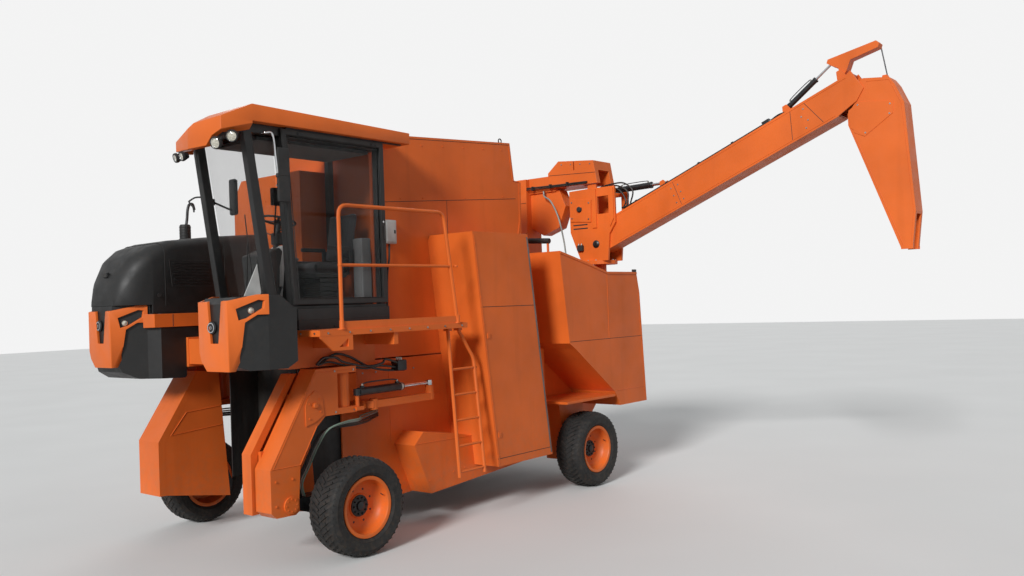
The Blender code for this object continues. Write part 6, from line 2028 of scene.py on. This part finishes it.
            form.bar(on_boom(3.11, 0.43, y), on_boom(3.15, 0.43, y), 0.013, ZINC, 6)
            form.pipe(
                [
                    on_boom(3.14, 0.43, y), on_boom(3.24, 0.445, y + 0.01), on_boom(3.32, 0.435, y + 0.02),
                    on_boom(3.37, 0.405, y + 0.02)
                ],
                0.009, HOSE, 2
            )
        form.done()

    def spout(self) -> None:
        """Side plates, seams, hinge bosses and the rolled lip of the spout."""
        form = Form("spout_fittings", "spout")
        for y, sign in ((2.985, -1), (3.255, 1)):
            low, high = sorted((y, y + sign * 0.006))
            form.slab(
                [
                    (4.875, 4.735), (5.001, 4.828), (5.407, 4.773), (5.401, 4.632), (5.061, 4.397),
                    (4.935, 4.46)
                ],
                Axis.Y, low, high, ORANGE, 0.002
            )
            form.seam(
                (5.10, y, 5.06), (5.37, y, 5.035), (5.50, y, 4.73), (5.585, y, 3.45), (5.540, y, 3.03),
                finish=ORANGE, width=0.004
            )
            form.seam((4.93, y, 4.45), (5.455, y, 3.05), finish=ORANGE, width=0.004)
            for x, z in ((4.99, 4.79), (5.37, 4.745), (5.36, 4.63), (5.07, 4.44)):
                form.bolt((x, y + sign * 0.006, z), (0, sign, 0), 0.008)
        form.cube((5.425, 2.983, 3.006), (5.562, 2.990, 3.045), ORANGE, 0.002)
        form.cube((5.425, 3.250, 3.006), (5.562, 3.257, 3.045), ORANGE, 0.002)
        form.done()

    def cylinders(self) -> None:
        """Gland nuts, ports and a pipe on the lift and spout cylinders."""
        for name, body, start, end, length, radius in (
            ("lift_cylinder_fittings", "lift_barrel", (1.39, 3.12, 4.14), on_boom(1.36, 0.485), 0.60, 0.045),
            (
                "spout_cylinder_fittings", "spout_cylinder_barrel", on_boom(3.36, 0.49), (4.655, 3.12, 5.39),
                0.50, 0.035
            ),
        ):
            form = Form(name, body)
            first = Vector(start)
            way = (Vector(end) - first).normalized()
            up = Vector((-way.z, 0, way.x))
            for along in (0.045, length - 0.012):
                foot = first + way * along
                form.bar(
                    tuple(foot - way * 0.014), tuple(foot + way * 0.014), radius + 0.003, DARK_METAL, 32,
                    edge=0.003
                )
            for along in (0.09, length - 0.06):
                foot = first + way * along + up * (radius - 0.004)
                form.bar(tuple(foot), tuple(foot + up * 0.022), 0.013, ZINC, 6)
            over = up * (radius + 0.020)
            a, b = first + way * 0.09 + over, first + way * (length - 0.06) + over
            form.pipe(
                [
                    tuple(a), tuple(a.lerp(b, 0.25) + up * 0.006), tuple(a.lerp(b, 0.75) + up * 0.006),
                    tuple(b)
                ],
                0.006, DARK_METAL, 2
            )
            form.done()

    def hoses(self) -> None:
        """The loose hose arcs that cross the boom's root, between the turret and the boom; they ride on no
        body.
        """
        routes = (
            [
                (1.12, 4.165), (1.23, 4.205), (1.42, 4.228), (1.60, 4.215), (1.74, 4.09),
                on_boom(0.80, 0.44)[::2]
            ],
            [(1.15, 4.16), (1.30, 4.200), (1.48, 4.190), (1.64, 4.08), on_boom(0.72, 0.45)[::2]],
            [(1.20, 4.16), (1.36, 4.175), (1.50, 4.11), (1.58, 3.97), on_boom(0.64, 0.46)[::2]],
        )
        for i, route in enumerate(routes):
            y = 3.005 + i * 0.028
            form = Form(f"boom_root_hose_{i + 1}", "turret").pipe(
                [(x, y - 0.01, z) for x, z in route], 0.0115, HOSE, 2
            )
            made = form.done(rides=False)
            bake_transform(made)


# Camera and light
@dataclass
class Studio:
    """The pale floor, soft studio light and the camera of the photograph."""

    lens: float = 32.39
    camera_at: Point = (8.8409, -8.3349, 2.5296)
    right: Point = (0.76786, 0.63962, -0.03577)
    down: Point = (-0.03820, -0.01001, -0.99922)
    ahead: Point = (-0.63948, 0.76862, 0.01675)
    sun_from: Point = (0.26, -0.86, 0.44)
    sun_strength: float = 2.65
    sky_strength: float = 0.30
    backdrop: float = 0.90

    def build(self) -> None:
        """Sets up the camera, the lamps, the world and the floor."""
        self.camera()
        self.lamps()
        self.world()
        self.floor()
        bpy.context.scene.view_settings.view_transform = "Standard"

    def camera(self) -> None:
        """The camera at the photograph's place."""
        data = bpy.data.cameras.new("camera")
        data.lens = self.lens
        data.sensor_width = 36.0
        data.clip_end = 200.0
        camera = bpy.data.objects.new("camera", data)
        bpy.context.scene.collection.objects.link(camera)
        columns = (
            Vector(self.right), -Vector(self.down), -Vector(self.ahead), Vector(self.camera_at) + ORIGIN
        )
        frame_of = Matrix.Identity(4)
        for j, column in enumerate(columns):
            for i in range(3):
                frame_of[i][j] = column[i]
        camera.matrix_world = frame_of
        bpy.context.scene.camera = camera

    def lamps(self) -> None:
        """A broad sun from the front left, and a faint one from behind on the right."""
        for name, way, strength, angle in (
            ("key", self.sun_from, self.sun_strength, 14.0),
            ("rim", (-0.6, 0.75, 0.45), 0.55, 40.0),
        ):
            data = bpy.data.lights.new(name, "SUN")
            data.energy = strength
            data.angle = math.radians(angle)
            lamp = bpy.data.objects.new(name, data)
            lamp.rotation_mode = "QUATERNION"
            lamp.rotation_quaternion = Vector(way).to_track_quat("Z", "Y")
            bpy.context.scene.collection.objects.link(lamp)

    def world(self) -> None:
        """Even sky light, with a plain pale backdrop for the camera, for gloss and through glass."""
        world = bpy.data.worlds.new("studio")
        bpy.context.scene.world = world
        world.use_nodes = True
        tree = world.node_tree
        light = tree.nodes["Background"]
        light.inputs["Color"].default_value = (0.93, 0.97, 1.0, 1.0)
        light.inputs["Strength"].default_value = self.sky_strength
        pale = tree.nodes.new("ShaderNodeBackground")
        pale.inputs["Color"].default_value = (self.backdrop, self.backdrop, self.backdrop, 1.0)
        rays = tree.nodes.new("ShaderNodeLightPath")
        seen = tree.nodes.new("ShaderNodeMath")
        seen.operation = "MAXIMUM"
        tree.links.new(rays.outputs["Is Camera Ray"], seen.inputs[0])
        tree.links.new(rays.outputs["Is Transmission Ray"], seen.inputs[1])
        glossy = tree.nodes.new("ShaderNodeMath")
        glossy.operation = "MULTIPLY"
        glossy.inputs[1].default_value = 0.55
        tree.links.new(rays.outputs["Is Glossy Ray"], glossy.inputs[0])
        either = tree.nodes.new("ShaderNodeMath")
        either.operation = "MAXIMUM"
        tree.links.new(seen.outputs["Value"], either.inputs[0])
        tree.links.new(glossy.outputs["Value"], either.inputs[1])
        mix = tree.nodes.new("ShaderNodeMixShader")
        tree.links.new(either.outputs["Value"], mix.inputs["Fac"])
        tree.links.new(light.outputs["Background"], mix.inputs[1])
        tree.links.new(pale.outputs["Background"], mix.inputs[2])
        tree.links.new(mix.outputs["Shader"], tree.nodes["World Output"].inputs["Surface"])

    def floor(self) -> None:
        """A wide pale floor."""
        bm = bmesh.new()
        bmesh.ops.create_grid(bm, x_segments=1, y_segments=1, size=70.0)
        mesh = bpy.data.meshes.new("floor")
        bm.to_mesh(mesh)
        bm.free()
        graph = Graph("floor_paint")
        seen = graph.tree.nodes.new("ShaderNodeLightPath").outputs["Is Diffuse Ray"]
        pale = graph.mixed(
            graph.spread(graph.noise(0.4, 2.0), 0.3, 0.7), (0.78, 0.78, 0.77), (0.81, 0.81, 0.80)
        )
        graph.feed(graph.mixed(seen, pale, (0.38, 0.36, 0.33)), "Base Color")
        graph.numbers(Roughness=0.9)
        mesh.materials.append(graph.material)
        floor = bpy.data.objects.new("floor", mesh)
        bpy.context.scene.collection.objects.link(floor)


def main() -> None:
    """Builds every class in order."""
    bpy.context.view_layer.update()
    Studio().build()
    Solids().dress()
    for name, body, x, y in (
        ("front_left", "wheel_front_left", 1.45, -2.07), ("front_right", "wheel_front_right", -1.45, -2.07),
        ("rear_left", "wheel_rear_left", 1.45, 2.05), ("rear_right", "wheel_rear_right", -1.45, 2.05),
    ):
        Wheel(name, body, x, y).build()
    for node, body, finish, edge in (
        ("bonnet", "bonnet", HOOD_BLACK, 0.010), ("cab_roof", "chassis", ORANGE_CLEAN, 0.016),
        ("nose_left", "chassis", ORANGE_CLEAN, 0.010), ("nose_right", "chassis", ORANGE_CLEAN, 0.010),
    ):
        Skin(node, body, finish, edge).build()
    OperatorSeat().build()
    SteeringWheel().build()
    CabTrim().build()
    NoseTrim().build()
    for side in Side:
        LegTrim(side).build()
        SteeringHoses(side).build()
        HousingTrim(side).build()
    BodyTrim().build()
    HopperTrim().build()
    PlatformTrim().build()
    DischargeTrim().build()


if __name__ == "__main__":
    main()
